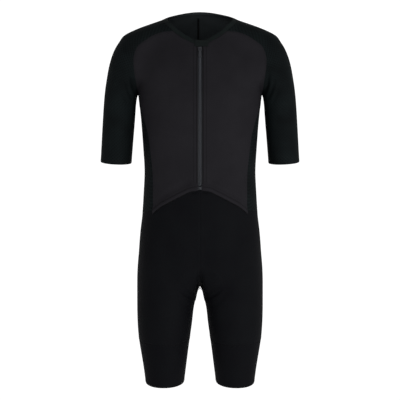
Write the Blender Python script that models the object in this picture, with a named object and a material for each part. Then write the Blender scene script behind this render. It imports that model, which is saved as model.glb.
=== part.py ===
"""Cycling skinsuit worn by nobody: hollow, with open neck, cuffs and leg ends.

Sizes are in millimetres until a mesh is made. X is across the body with the wearer's left at +X,
the front faces -Y and Z is up. The origin is the middle of the neck opening at the height where
the neck meets the shoulders.

The body form is a smooth union of round sections given by the short tables below. Every panel is a
net of points laid on that form between its seam lines, given a wall by moving the points inwards,
and trimmed back at its edges so that neighbours stay a seam gap apart.
"""
import bpy
import numpy as np

# ---------------------------------------------------------------- sizes
WALL = 1.4            # cloth wall
SEAM = 0.3            # gap between neighbouring pieces
HEM_WALL = 2.0        # folded hem, two layers
BINDING = 10.0        # width of the neck binding
BINDING_RISE = 0.6    # how far the folded binding stands above the panels
HEM = 10.0            # height of the hem under the fronts
ZIP_SLOT = 5.5        # half the gap between the two front edges
TAPE_IN, TAPE_OUT = 2.9, 15.0   # zip tape, from the teeth to its hidden edge
TAPE_WALL = 0.6
TAPE_DROP = 0.4       # tape below the inside of the fronts
TEETH_HALF, TEETH_TALL = 2.55, 2.4
SLIDER_TOP = -47.8    # height of the top of the zip slider
SLIDER_LONG = 11.0
PULL_PIVOT = (0.0, 2.4, 5.0)    # across, out of the cloth and down from the slider's top
GARAGE_ACROSS = (-13.0, -5.0, 3.0, 11.5, 20.0)
CROTCH = -656.0
CUFF = -345.5
CUFF_X = 217.0        # middle of the cuff
CUFF_TILT = 0.055     # rise of the cuff per millimetre outwards
LEG_SEAM = -812.0
LEG_END = -934.3
LEG_END_TILT = -0.015
PAD_WALL = 7.0        # seat pad
PAD_DROP = 0.8

# ---------------------------------------------------------------- tables of the worn form
TORSO = (
    # height, half width, front depth, back depth, squareness
    (57.6, 27.2, 33, 40.8, 2),
    (34.6, 44.8, 42.8, 51.6, 2),
    (19.3, 70.1, 51.6, 64.3, 2),
    (0, 95.5, 60.4, 77, 2),
    (-28.9, 119.1, 72.3, 90.8, 2.05),
    (-58, 138.9, 86.1, 102.7, 2.1),
    (-96.9, 155.9, 102.9, 113.7, 2.2),
    (-140.8, 160.2, 116, 118.9, 2.25),
    (-185, 156.3, 121.2, 119.2, 2.3),
    (-229.4, 151.5, 120.5, 114.6, 2.3),
    (-274, 148.2, 116.9, 107, 2.3),
    (-323.9, 145.2, 112.2, 98.3, 2.25),
    (-368, 143.4, 108.5, 93.6, 2.2),
    (-414.4, 145.6, 106.8, 94.8, 2.2),
    (-465, 148.8, 107.1, 103.1, 2.25),
    (-516, 151.8, 106.4, 114.5, 2.3),
    (-567.2, 148.5, 104.7, 121.8, 2.3),
    (-618.7, 135.3, 101, 123.2, 2.25),
    (-665.4, 113.4, 93.1, 113.4, 2.2),
    (-722.7, 91.4, 81.3, 96.5, 2.1),
)
ARM = (
    # height, centre out, half width, centre back, half depth, squareness
    (38.5, 17, 22, 3.9, 21.4, 2),
    (22.1, 43, 34.6, 3.9, 29.2, 2),
    (7.7, 79.9, 44.8, 3.9, 36.1, 2),
    (-7.7, 111.2, 55.1, 3.9, 41.9, 2.05),
    (-22.2, 135.2, 58.4, 3.9, 46.9, 2.1),
    (-33.8, 147, 55.9, 3.9, 49.8, 2.1),
    (-48.3, 159.4, 53.1, 3.9, 52.8, 2.1),
    (-67.7, 171.6, 50.5, 3.9, 55.8, 2.1),
    (-97.9, 183.9, 47.8, 3.9, 56.9, 2.1),
    (-129.1, 192.5, 45.4, 3.9, 56, 2.1),
    (-155.5, 198.7, 43.5, 3, 54.1, 2.1),
    (-182.1, 203.6, 41.7, 3, 52.2, 2.1),
    (-219.5, 207.1, 41.3, 2, 50.4, 2.1),
    (-284, 212.1, 40.7, 1, 48.6, 2.1),
    (-359, 217.8, 40, 0, 46.8, 2.1),
)
LEG = (
    # height, centre out, half width, centre back, half depth, squareness
    (-434.6, 66, 40, 6, 50, 2.1),
    (-495.5, 77.2, 63.2, 8, 84.2, 2.15),
    (-526.2, 81.6, 69, 10, 98.5, 2.2),
    (-556.9, 84.2, 72.8, 13.1, 106.7, 2.25),
    (-598.1, 85.6, 76.6, 16.1, 113, 2.25),
    (-639.4, 86.2, 79, 15.2, 111.2, 2.2),
    (-681, 86.7, 79.2, 11.1, 104.4, 2.15),
    (-703.9, 88.1, 77.9, 9.1, 100.4, 2.1),
    (-720.6, 90.1, 76, 8.1, 98, 2.1),
    (-768.8, 92.9, 72.4, 5.1, 91.6, 2.1),
    (-802.5, 94.2, 69.1, 4.1, 86.7, 2.1),
    (-843.7, 94.3, 63.5, 3.1, 78.7, 2.1),
    (-885.2, 93.7, 57.7, 2, 70.7, 2.1),
    (-934.3, 93.7, 51.8, 2.1, 62.7, 2.1),
    (-977.2, 94, 48, 2.1, 58.7, 2.1),
)
FOLDS = (
    # from x, from z, to x, to z, half width, depth; all on the front, on both sides
    (172.5, -93, 147.7, -171.3, 9, 2.6), # sleeve falling into the underarm
    (118.3, -191, 155.7, -177.2, 9, 1.6), # side of the chest under the arm
    (60.7, -639.7, 12.2, -691.7, 10, 2.2), # groin, down to the inside of the leg
    (72.9, -668.8, 22.3, -718.8, 9, 1.6), # second crease below it
)
NECK_EDGE = (
    # direction round the neck (-90 is the front, 90 the back), height
    (-90, -30.9), (-78, -29), (-66, -21.7), (-54, -13.5), (-43, -4.3), (-34, 6.7), (-20, 17.3),
    (0, 23.5), (25, 29.8), (50, 34.4), (72, 36.8), (90, 37.6),
)
RAGLAN_FRONT = (
    # x, y, z from the neck binding to just above the underarm
    (102.5, -45.9, -13), (121.1, -45.9, -22.9), (139.7, -46.9, -34), (152.5, -48.4, -43.9),
    (161.1, -50.9, -56.1), (164.9, -52.9, -70.6), (166.3, -53.9, -91.1), (165.1, -53, -110.6),
    (162.1, -49.1, -130.1), (159.3, -35.4, -148.7), (159, -17.7, -163.4),
)
RAGLAN_BACK = (
    (101.4, 53.6, -3.8), (121, 58.5, -13.5), (139.6, 61.5, -26), (153.4, 63.5, -40.5),
    (162.3, 64.6, -58), (166, 64.6, -79.3), (165.7, 62.8, -100.8), (163.5, 57.9, -124.2),
    (160.7, 45.2, -145.7), (159.4, 24.6, -163.4),
)
SIDE_SEAM = (
    # x, y, z from just under the underarm to the corner of the front hem
    (156.2, -11.8, -190.9), (149.5, -35.5, -210.7), (141.8, -52.4, -231.5),
    (133.4, -62.3, -258.2), (128.5, -65.9, -286.1), (125.6, -66, -318), (122.7, -65.6, -346),
    (120.8, -65.2, -372.1), (120.5, -65.9, -408.4), (120.2, -68, -434.7), (119.9, -69.3, -458.8),
)
FRONT_HEM = (
    # x, y, z of the seam above the front hem, from the zip outwards
    (0, -107.2, -391.9), (24.9, -106, -395.9), (44.9, -103.2, -406), (62.9, -98.8, -416),
    (80.4, -92.9, -426.4), (101, -83, -439.7), (119.9, -69.3, -458.8),
)
WAIST_SEAM = (
    # x, y, z from the corner of the front hem round to the centre back
    (119.9, -69.3, -458.8), (136.2, -48.1, -465), (147.2, -20, -467.3), (149.2, 8, -466),
    (146.1, 40, -462.9), (132.1, 68.1, -458.8), (108, 89.1, -454.7), (75, 99, -451.6),
    (38, 103, -449.6), (0, 104, -449.6),
)
NECK_SIDE_FRONT = -41.0   # direction round the neck where the front raglan seam starts
NECK_SIDE_BACK = 34.0     # and the back one

# how many steps the nets take along each seam
N_FRONT, N_SLEEVE, N_BACK = 8, 16, 12
N_RAGLAN, N_SIDE, N_ARM = 10, 13, 8
N_RISE, N_THIGH, N_BAND = 11, 6, 5


# ---------------------------------------------------------------- the worn form
def spline(rows):
    """Natural cubic through a table whose first column is the height."""
    data = np.array(sorted(rows), float)
    x, y = data[:, 0], data[:, 1:]
    h = np.diff(x)
    grid, rhs = np.eye(len(x)), np.zeros_like(y)
    for i in range(1, len(x) - 1):
        grid[i, i - 1:i + 2] = h[i - 1], 2 * (h[i - 1] + h[i]), h[i]
        rhs[i] = 6 * ((y[i + 1] - y[i]) / h[i] - (y[i] - y[i - 1]) / h[i - 1])
    return x, y, np.linalg.solve(grid, rhs)


def read(table, at):
    """Columns of a splined table at the given heights."""
    x, y, bend = table
    at = np.clip(at, x[0], x[-1])
    i = np.clip(np.searchsorted(x, at) - 1, 0, len(x) - 2)
    h = (x[i + 1] - x[i])[:, None]
    a, b = (x[i + 1] - at)[:, None] / h, (at - x[i])[:, None] / h
    both = a * y[i] + b * y[i + 1]
    return (both + ((a ** 3 - a) * bend[i] + (b ** 3 - b) * bend[i + 1]) * h ** 2 / 6).T


TORSO_T, ARM_T, LEG_T = spline(TORSO), spline(ARM), spline(LEG)


def section(u, v, half_u, half_v, power):
    """Distance outside a rounded section, measured along the ray from its centre."""
    r = np.hypot(u, v) + 1e-9
    q = ((np.abs(u) / half_u) ** power + (np.abs(v) / half_v) ** power) ** (1 / power) + 1e-12
    return r - r / q


def soft_min(a, b, k):
    h = np.maximum(k - np.abs(a - b), 0) / k
    return np.minimum(a, b) - h * h * k / 4


def soft_step(low, high, v):
    t = np.clip((v - low) / (high - low), 0, 1)
    return t * t * (3 - 2 * t)


def folds(across, y, z):
    """Soft troughs pressed into the front of the form."""
    total = np.zeros_like(z)
    for x0, z0, x1, z1, wide, deep in FOLDS:
        dx, dz = x1 - x0, z1 - z0
        t = np.clip(((across - x0) * dx + (z - z0) * dz) / (dx * dx + dz * dz), 0, 1)
        far = np.hypot(across - x0 - t * dx, z - z0 - t * dz)
        total += deep * np.sin(np.pi * (0.12 + 0.76 * t)) * np.exp(-(far / wide) ** 2)
    return total * soft_step(5, -30, y)


def form(p):
    """Signed size of how far points are outside the worn form."""
    x, y, z = p.T
    across = np.abs(x)
    half, front, back, power = read(TORSO_T, z)
    torso = section(across, y, half, np.where(y < 0, front, back), power)
    torso = -soft_min(-torso, z - CROTCH, 70.0)
    out, wide, mid, deep, power = read(ARM_T, z)
    arm = np.maximum(section(across - out, y - mid, wide, deep, power), -394 - z)
    out, wide, mid, deep, power = read(LEG_T, z)
    leg = np.maximum(section(across - out, y - mid, wide, deep, power), z + 435)
    other = np.maximum(section(-across - out, y - mid, wide, deep, power), z + 435)
    upper = soft_min(torso, arm, 4 + 44 * soft_step(-171, -114, z))
    legs = soft_min(leg, other, 6.0)
    whole = soft_min(upper, legs, 18 + 28 * soft_step(100, 30, across))
    return whole + folds(across, y, z)


def normals(p, h=0.6):
    """Unit outward directions of the form at points."""
    g = np.zeros_like(p)
    for axis in range(3):
        step = np.zeros(3)
        step[axis] = h
        g[:, axis] = form(p + step) - form(p - step)
    return g / (np.linalg.norm(g, axis=1)[:, None] + 1e-12)


def settle(p, times=10):
    """Move points onto the form by the shortest way."""
    p = np.array(p, float)
    for _ in range(times):
        g = np.zeros_like(p)
        for axis in range(3):
            step = np.zeros(3)
            step[axis] = 0.4
            g[:, axis] = (form(p + step) - form(p - step)) / 0.8
        p = p - (form(p) / (np.sum(g * g, axis=1) + 1e-9))[:, None] * g
    return p


def cast(origin, way, reach=290.0, step=3.0, least_x=None):
    """First place where rays from inside leave the form, or its half beyond least_x."""
    def outside(q):
        return form(q) if least_x is None else np.maximum(form(q), least_x - q[:, 0])

    way = way / np.linalg.norm(way, axis=1)[:, None]
    steps = np.arange(0, reach, step)
    probe = origin[:, None, :] + steps[None, :, None] * way[:, None, :]
    value = outside(probe.reshape(-1, 3)).reshape(len(origin), -1)
    crossing = (value[:, :-1] <= 0) & (value[:, 1:] > 0)
    if not crossing.any(axis=1).all():
        raise ValueError("a ray never leaves the form")
    first = np.argmax(crossing, axis=1)
    low, high = steps[first], steps[first] + step
    for _ in range(26):
        mid = (low + high) / 2
        inside = outside(origin + mid[:, None] * way) <= 0
        low, high = np.where(inside, mid, low), np.where(inside, high, mid)
    return origin + ((low + high) / 2)[:, None] * way


# ---------------------------------------------------------------- seam lines
def smooth_line(points, dense=24):
    """Catmull-Rom line through points, with even knots."""
    p = np.asarray(points, float)
    p = np.vstack([2 * p[0] - p[1], p, 2 * p[-1] - p[-2]])
    t = np.linspace(0, 1, dense, endpoint=False)[:, None]
    out = []
    for a, b, c, d in zip(p[:-3], p[1:-2], p[2:-1], p[3:]):
        out.append(0.5 * (2 * b + (c - a) * t + (2 * a - 5 * b + 4 * c - d) * t ** 2
                          + (3 * b - a - 3 * c + d) * t ** 3))
    return np.vstack(out + [p[-2:-1]])


def even(line, count, shares=None):
    """A line resampled to count steps, even or by the given shares of its length."""
    run = np.concatenate([[0], np.cumsum(np.linalg.norm(np.diff(line, axis=0), axis=1))])
    at = (np.linspace(0, 1, count + 1) if shares is None else shares) * run[-1]
    return np.stack([np.interp(at, run, line[:, k]) for k in range(3)], axis=1)


def seam(points, count):
    """Seam line through table points, laid on the form and evenly stepped; its ends stay."""
    line = settle(even(settle(smooth_line(points)), count))
    line[0], line[-1] = settle(np.array([points[0], points[-1]]))
    return line


def neck_line(angles):
    table = np.array(NECK_EDGE, float)
    height = smooth_line(np.column_stack([table, np.zeros(len(table))]), 12)
    z = np.interp(angles, height[:, 0], height[:, 1])
    a = np.radians(angles)
    way = np.stack([np.cos(a), np.sin(a), np.zeros_like(a)], axis=1)
    return cast(np.stack([0 * a, 0 * a, z], axis=1), way)


def widen(line, width):
    """Points a given width further down the form from a line round the neck."""
    line = line.copy()
    n_steps = 5
    for _ in range(n_steps):
        along = np.gradient(line, axis=0)
        aside = np.cross(along, normals(line))
        aside /= np.linalg.norm(aside, axis=1)[:, None]
        aside[0, 0] = aside[-1, 0] = 0.0
        line = settle(line + aside * width / n_steps, 4)
    return line


def middle_curve(angles):
    """Points of the form in the middle plane, by angle about a point inside the seat."""
    a = np.radians(angles)
    origin = np.tile([0.0, 5.0, -557.0], (len(a), 1))
    return cast(origin, np.stack([0 * a, np.cos(a), np.sin(a)], axis=1))


def middle_line(start, stop, count):
    """Even steps along the middle curve from one height to another way round the crotch."""
    dense = middle_curve(np.linspace(start, stop, 160))
    return settle_flat(even(dense, count))


def settle_flat(p):
    p = settle(p)
    p[:, 0] = 0.0
    return p


# ---------------------------------------------------------------- nets
class Rows:
    """Where the rays of each row of a net start and which way they face."""

    def __init__(self, centres, outs, backs, least_x=None):
        self.least_x = least_x
        self.c = np.array(centres, float)
        self.e1 = np.array(outs, float)
        self.e1 /= np.linalg.norm(self.e1, axis=1)[:, None]
        back = np.array(backs, float)
        back -= np.sum(back * self.e1, axis=1)[:, None] * self.e1
        self.e2 = back / np.linalg.norm(back, axis=1)[:, None]
        self.n = np.cross(self.e1, self.e2)

    def angles(self, i, points):
        d = points - self.c[i]
        a, b, n = d @ self.e1[i], d @ self.e2[i], d @ self.n[i]
        return np.degrees(np.arctan2(b, a)), n / np.hypot(a, b)

    def rays(self, i, angle, lift):
        a = np.radians(angle)[:, None]
        way = np.cos(a) * self.e1[i] + np.sin(a) * self.e2[i] + lift[:, None] * self.n[i]
        points = cast(np.tile(self.c[i], (len(angle), 1)), way, least_x=self.least_x)
        if self.least_x is not None:
            stopped = points[:, 0] < self.least_x + 0.02
            for _ in range(4 if stopped.any() else 0):
                points[stopped] = settle(points[stopped])
                points[stopped, 0] = np.maximum(points[stopped, 0], self.least_x)
        return points


def net(rows, left, right, top, bottom, power=1.0, ring_from=None, edge_fade=1.6):
    """Net of points on the form between four edges.

    left and right are the edge points of each row, top and bottom whole first and last rows.
    ring_from is the first row that closes on itself.
    """
    count, cols = len(left), len(top)
    v = np.linspace(0, 1, cols)
    grid = np.zeros((count, cols, 3))

    def ends(i):
        (a0, w0), (a1, w1) = rows.angles(i, left[i:i + 1]), rows.angles(i, right[i:i + 1])
        a0, a1, w0, w1 = a0[0], a1[0], w0[0], w1[0]
        if ring_from is not None:
            a0 = a0 - 360 if a0 > 90 else a0
            a1 = a1 + 360 if a1 < -90 else a1
            if i >= ring_from:
                a0, a1 = (a0, a0 + 360) if abs(a0) > 90 else (a1 - 360, a1)
        return a0 + (a1 - a0) * v, w0 * (1 - v) ** power + w1 * v ** power

    def extra(i, whole):
        a, w = rows.angles(i, whole)
        base_a, base_w = ends(i)
        a = base_a + (a - base_a + 180) % 360 - 180
        return a - base_a, w - base_w

    top_a, top_w = extra(0, top)
    low_a, low_w = extra(count - 1, bottom)
    for i in range(count):
        u = i / (count - 1)
        down, up = (1 - u) ** edge_fade, u ** edge_fade
        a, w = ends(i)
        a = a + top_a * down + low_a * up
        w = w + top_w * down + low_w * up
        grid[i] = rows.rays(i, a, w)
        grid[i, 0], grid[i, -1] = left[i], right[i]
    grid[0], grid[-1] = top, bottom
    return grid


# ---------------------------------------------------------------- solids from nets
class Cloth:
    """A sheet of triangles on the form, with a wall each side of which can be offset."""

    def __init__(self):
        self.p, self.tri, self.key = [], [], {}

    def point(self, at):
        k = tuple(np.round(at, 4))
        if k not in self.key:
            self.key[k] = len(self.p)
            self.p.append(np.array(at, float))
        return self.key[k]

    def add(self, grid, keep=None):
        """Add a net, each four-sided cell as two triangles on its shorter diagonal."""
        count, cols = grid.shape[:2]
        idx = [[self.point(grid[i, j]) for j in range(cols)] for i in range(count)]
        for i in range(count - 1):
            for j in range(cols - 1):
                if keep is not None and not keep(i, j):
                    continue
                a, b, c, d = idx[i][j], idx[i][j + 1], idx[i + 1][j + 1], idx[i + 1][j]
                if np.linalg.norm(grid[i, j] - grid[i + 1, j + 1]) <= \
                        np.linalg.norm(grid[i, j + 1] - grid[i + 1, j]):
                    new = ((a, b, c), (a, c, d))
                else:
                    new = ((a, b, d), (b, c, d))
                self.tri += [t for t in new if len(set(t)) == 3]
        return idx

    def solid(self, outer, inner, trim=SEAM / 2):
        """Points and faces of the closed wall between two offsets from the form."""
        p, tri = np.array(self.p), np.array(self.tri)
        used = np.unique(tri)
        renumber = -np.ones(len(p), int)
        renumber[used] = np.arange(len(used))
        p, tri = p[used], renumber[tri]
        out = normals(p)
        face = np.cross(p[tri[:, 1]] - p[tri[:, 0]], p[tri[:, 2]] - p[tri[:, 0]])
        if np.sum(face * out[tri[:, 0]]) < 0:
            tri, face = tri[:, ::-1], -face
        own = np.zeros_like(p)
        for k in range(3):
            np.add.at(own, tri[:, k], face)
        own /= np.linalg.norm(own, axis=1)[:, None]
        sharp = np.sum(own * out, axis=1) < 0.86
        out[sharp] = own[sharp]
        edges = {(t[k], t[(k + 1) % 3]) for t in tri for k in range(3)}
        rim = [(a, b) for a, b in edges if (b, a) not in edges]
        shift, weight = np.zeros_like(p), np.zeros(len(p))
        for a, b in rim:
            along = p[b] - p[a]
            along /= np.linalg.norm(along)
            for k in (a, b):
                inward = np.cross(out[k], along)
                inward /= np.linalg.norm(inward)
                shift[k] += inward
                weight[k] += 1
        on = weight > 0
        mean = shift[on] / weight[on][:, None]
        size = np.sum(mean * mean, axis=1)[:, None]
        pull = trim * np.where(sharp, 2.2, 1.0)[on][:, None]
        p[on] += pull * mean / np.maximum(size, 0.3)
        outer = outer(p) if callable(outer) else np.full(len(p), float(outer))
        inner = inner(p) if callable(inner) else np.full(len(p), float(inner))
        both = np.vstack([p + out * outer[:, None], p + out * inner[:, None]])
        k = len(p)
        faces = [tuple(t) for t in tri] + [(t[0] + k, t[2] + k, t[1] + k) for t in tri]
        for a, b in rim:
            faces += [(b, a, a + k), (b, a + k, b + k)]
        return both, faces


def mirrored(points, faces):
    flipped = points * np.array([-1.0, 1.0, 1.0])
    return flipped, [tuple(reversed(f)) for f in faces]


MATERIALS = {}


def material(name, colour, rough, metal=0.0):
    if name not in MATERIALS:
        m = bpy.data.materials.new(name)
        m.use_nodes = True
        shader = m.node_tree.nodes["Principled BSDF"]
        shader.inputs["Base Color"].default_value = (*colour, 1)
        shader.inputs["Roughness"].default_value = rough
        shader.inputs["Metallic"].default_value = metal
        m.diffuse_color = (*colour, 1)
        MATERIALS[name] = m
    return MATERIALS[name]


def make(name, points, faces, mat, smooth=True, origin=None):
    """Make one named solid in metres, its own origin at the world's unless given."""
    origin = np.zeros(3) if origin is None else np.asarray(origin, float)
    mesh = bpy.data.meshes.new(name)
    mesh.from_pydata([tuple(v) for v in (points - origin) * 0.001], [], faces)
    mesh.validate()
    mesh.update()
    mesh.polygons.foreach_set("use_smooth", [smooth] * len(mesh.polygons))
    mesh.materials.append(mat)
    obj = bpy.data.objects.new(name, mesh)
    obj.location = origin * 0.001
    bpy.context.scene.collection.objects.link(obj)
    return obj


def cells(xs, ys, zs, solid):
    """Closed surface of the cells of a block grid for which solid(i, j, k) is true."""
    verts, faces, key = [], [], {}
    full = {(i, j, k) for i in range(len(xs) - 1) for j in range(len(ys) - 1)
            for k in range(len(zs) - 1) if solid(i, j, k)}

    def corner(i, j, k):
        if (i, j, k) not in key:
            key[i, j, k] = len(verts)
            verts.append((xs[i], ys[j], zs[k]))
        return key[i, j, k]

    sides = (
        ((-1, 0, 0), ((0, 0, 0), (0, 0, 1), (0, 1, 1), (0, 1, 0))),
        ((1, 0, 0), ((1, 0, 0), (1, 1, 0), (1, 1, 1), (1, 0, 1))),
        ((0, -1, 0), ((0, 0, 0), (1, 0, 0), (1, 0, 1), (0, 0, 1))),
        ((0, 1, 0), ((0, 1, 0), (0, 1, 1), (1, 1, 1), (1, 1, 0))),
        ((0, 0, -1), ((0, 0, 0), (0, 1, 0), (1, 1, 0), (1, 0, 0))),
        ((0, 0, 1), ((0, 0, 1), (1, 0, 1), (1, 1, 1), (0, 1, 1))),
    )
    for i, j, k in sorted(full):
        for (a, b, c), loop in sides:
            if (i + a, j + b, k + c) not in full:
                faces.append(tuple(corner(i + x, j + y, k + z) for x, y, z in loop))
    return np.array(verts, float), faces


# ---------------------------------------------------------------- seams of the suit
def lay_out():
    """All seam lines and nets of the wearer's left half."""
    s = {}
    # neck: edge of the opening and the seam under the binding, front to back
    slot = np.degrees(np.arctan2(-75.0, ZIP_SLOT))
    side_a = np.concatenate([[slot], np.linspace(slot, NECK_SIDE_FRONT, N_FRONT + 1)[1:]])
    side_b = np.linspace(NECK_SIDE_FRONT, NECK_SIDE_BACK, N_SLEEVE + 1)[1:]
    side_c = np.linspace(NECK_SIDE_BACK, 90, N_BACK + 1)[1:]
    edge = neck_line(np.concatenate([side_a, side_b, side_c]))
    edge[-1, 0] = 0.0
    low = widen(edge, BINDING)
    low[-1, 0] = 0.0
    low[0] = settle(np.array([[ZIP_SLOT, low[0, 1], low[0, 2]]]))[0]
    s["neck"], s["neck_seam"] = edge, low
    s["neck_front"] = low[:N_FRONT + 1]
    s["neck_sleeve"] = low[N_FRONT:N_FRONT + N_SLEEVE + 1]
    s["neck_back"] = low[N_FRONT + N_SLEEVE:]

    # underarm point, raglan seams and side seam
    arm_hole = cast(np.array([[159.5, 0.0, -116.0]]), np.array([[0.0, 0.0, -1.0]]))[0]
    s["underarm"] = arm_hole
    s["raglan_front"] = seam([s["neck_front"][-1], *RAGLAN_FRONT, arm_hole], N_RAGLAN)
    s["raglan_back"] = seam([s["neck_back"][0], *RAGLAN_BACK, arm_hole], N_RAGLAN)
    s["side"] = seam([arm_hole, *SIDE_SEAM], N_SIDE)

    # front hem seam, hem edge, and the seam round the back of the waist
    hem = even(settle(smooth_line(FRONT_HEM)), N_FRONT + 1)
    hem[1:] = even(hem_from_slot(hem), N_FRONT)
    hem = settle(hem)
    hem[0, 0] = 0.0
    hem[1] = settle(np.array([[ZIP_SLOT, hem[1, 1], hem[1, 2]]]))[0]
    hem[-1] = s["side"][-1]
    s["hem_seam"] = hem
    edge = hem.copy()
    edge[:, 2] -= HEM
    edge = settle(edge)
    edge[0, 0] = 0.0
    s["hem_edge"] = edge
    waist = seam([s["side"][-1], *WAIST_SEAM[1:]], N_BACK)
    waist[0], waist[-1, 0] = s["side"][-1], 0.0
    s["waist"] = waist
    return s


def hem_from_slot(hem):
    """The part of the hem seam outside the zip slot."""
    dense = smooth_line(hem)
    return dense[dense[:, 0] >= ZIP_SLOT]


def on_front(x, z):
    """Points of the form straight in front of the places x, z."""
    x, z = np.broadcast_arrays(np.asarray(x, float), np.asarray(z, float))
    origin = np.stack([x, 0 * z, z], axis=1)
    return cast(origin, np.tile([0.0, -1.0, 0.0], (len(z), 1)))


def torso_rows(left, right):
    z = (left[:, 2] + right[:, 2]) / 2
    z = np.minimum(z, np.minimum(left[:, 2], right[:, 2]) + 14)
    n = len(z)
    centres = np.stack([np.zeros(n), np.zeros(n), z], axis=1)
    return Rows(centres, np.tile([1.0, 0, 0], (n, 1)), np.tile([0, 1.0, 0], (n, 1)))


def front_net(s):
    right = np.vstack([s["raglan_front"], s["side"][1:]])
    top, bottom = s["neck_front"], s["hem_seam"][1:]
    left = even(on_front(ZIP_SLOT, np.linspace(top[0, 2], bottom[0, 2], 200)), len(right) - 1)
    left = on_front(ZIP_SLOT, left[:, 2])
    left[0], left[-1] = top[0], bottom[0]
    return net(torso_rows(left, right), left, right, top, bottom)


def back_net(s):
    left = np.vstack([s["raglan_back"], s["side"][1:]])
    top, bottom = s["neck_back"], s["waist"]
    z = np.linspace(top[-1, 2], bottom[-1, 2], 200)
    origin = np.stack([0 * z, 0 * z, z], axis=1)
    right = even(cast(origin, np.tile([0.0, 1.0, 0.0], (len(z), 1))), len(left) - 1)
    right = settle_flat(right)
    right[0], right[-1] = top[-1], bottom[-1]
    return net(torso_rows(left, right), left, right, top, bottom)


SLEEVE_AXIS = (
    # share of the raglan seam, centre x, y, z, then the way to the top of the arm, x and z
    (0, 64.4, 3.9, -21.2, 0.1, 1),
    (0.22, 93.8, 4.9, -42.5, 0.22, 0.98),
    (0.45, 123.3, 4.9, -69.6, 0.45, 0.89),
    (0.7, 155, 3.9, -104.7, 0.8, 0.6),
    (1, 186.9, 3, -155.5, 1, 0.18),
)


def sleeve_net(s):
    arm = s["underarm"]
    low = cast(np.array([[CUFF_X, 0.0, CUFF]]), np.array([[-1.0, 0.0, -CUFF_TILT]]))[0]
    line = settle(np.linspace(arm, low, 60))
    under = even(line, N_ARM)
    under = settle(under)
    under[0], under[-1] = arm, low
    left = np.vstack([s["raglan_front"], under[1:]])
    right = np.vstack([s["raglan_back"], under[1:]])
    axis = np.array(SLEEVE_AXIS, float)
    share = np.linspace(0, 1, N_RAGLAN + 1)
    upper = np.stack([np.interp(share, axis[:, 0], axis[:, k]) for k in range(1, 6)], axis=1)
    z = np.linspace(-156, CUFF, N_ARM + 1)[1:]
    out, _, mid, _, _ = read(ARM_T, z)
    tilt = np.linspace(0.18, CUFF_TILT, N_ARM + 1)[1:]
    centres = np.vstack([upper[:, :3], np.stack([out, mid, z], axis=1)])
    outs = np.vstack([upper[:, 3:4] * [1, 0, 0] + upper[:, 4:5] * [0, 0, 1],
                      np.stack([np.ones_like(z), 0 * z, tilt], axis=1)])
    rows = Rows(centres, outs, np.tile([0, 1.0, 0], (len(outs), 1)))
    a = np.radians(np.linspace(-180, 180, N_SLEEVE + 1))
    way = np.stack([np.cos(a), np.sin(a), CUFF_TILT * np.cos(a)], axis=1)
    cuff = cast(np.tile([CUFF_X, 0.0, CUFF], (len(a), 1)), way)
    cuff[0] = cuff[-1] = low
    return net(rows, left, right, s["neck_sleeve"], cuff, ring_from=N_RAGLAN)


def leg_net(s):
    """Both parts of one leg: the shorts and the gripper band below them."""
    bottom_way = -86.0
    front_top, back_top = s["hem_edge"][0], s["waist"][-1].copy()
    start = np.degrees(np.arctan2(front_top[2] + 557, front_top[1] - 5)) % 360 - 360
    stop = np.degrees(np.arctan2(back_top[2] - HEM + 557, back_top[1] - 5))
    front = middle_line(start, bottom_way, N_RISE)
    back = middle_line(stop, bottom_way, N_RISE)
    crotch = front[-1]
    back[-1] = crotch
    seam_z = np.linspace(-691, LEG_SEAM, 30)
    out, wide, mid, _, _ = read(LEG_T, seam_z)
    inner = cast(np.stack([out, mid, seam_z], axis=1), np.tile([-1.0, 0, 0], (len(out), 1)))
    line = np.vstack([crotch[None], inner])
    thigh = even(line, N_THIGH)
    thigh[1:] = settle(thigh[1:])
    end = inner[-1]
    thigh[-1] = end
    left = np.vstack([front, thigh[1:]])
    right = np.vstack([back, thigh[1:]])

    top_waist = s["waist"].copy()
    top_waist[:, 2] -= HEM
    top_waist = settle(top_waist)
    top_waist[-1] = right[0]
    hem = s["hem_edge"].copy()
    hem[0] = left[0]
    corner = settle(np.array([(hem[-1] + top_waist[0]) / 2]))[0]
    top = np.vstack([hem[:-1], corner[None], top_waist[1:]])

    z = np.concatenate([np.linspace(-496, -664, N_RISE + 1),
                        np.linspace(-664, LEG_SEAM, N_THIGH + 1)[1:]])
    out, _, mid, _, _ = read(LEG_T, z)
    out[:N_RISE + 1] = np.linspace(58, out[N_RISE], N_RISE + 1)
    mid[:N_RISE + 1] = np.linspace(2, mid[N_RISE], N_RISE + 1)
    rows = Rows(np.stack([out, mid, z], axis=1), np.tile([1.0, 0, 0], (len(z), 1)),
                np.tile([0, 1.0, 0], (len(z), 1)), least_x=1.2)
    v = np.linspace(-180, 180, len(top))
    a = np.radians(v)
    way = np.stack([np.cos(a), np.sin(a), 0 * a], axis=1)
    ring = cast(np.tile([out[-1], mid[-1], LEG_SEAM], (len(a), 1)), way)
    ring[0] = ring[-1] = end
    short = net(rows, left, right, top, ring, power=2.5, ring_from=N_RISE)
    first = np.vstack([s["hem_seam"], s["waist"][1:]])[None]
    short = np.vstack([first, short])

    band = [ring]
    for share in np.linspace(0, 1, N_BAND + 1)[1:]:
        z = LEG_SEAM + share * (LEG_END - LEG_SEAM)
        out, _, mid, _, _ = read(LEG_T, np.array([z]))
        tilted = way + np.cos(a)[:, None] * [0, 0, share * LEG_END_TILT]
        loop = cast(np.tile([out[0], mid[0], z], (len(a), 1)), tilted)
        loop[0] = loop[-1]
        band.append(loop)
    return short, np.array(band)


# ---------------------------------------------------------------- building
def lift(p):
    """How far the front hem stands off the shorts: further where the zip tape runs under it."""
    return 0.3 + 1.2 * soft_step(44, 18, np.abs(p[:, 0]))


def near(p, line, within=3.0):
    d = np.linalg.norm(p[:, None, :] - line[None, :, :], axis=2).min(axis=1)
    return d < within


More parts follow.
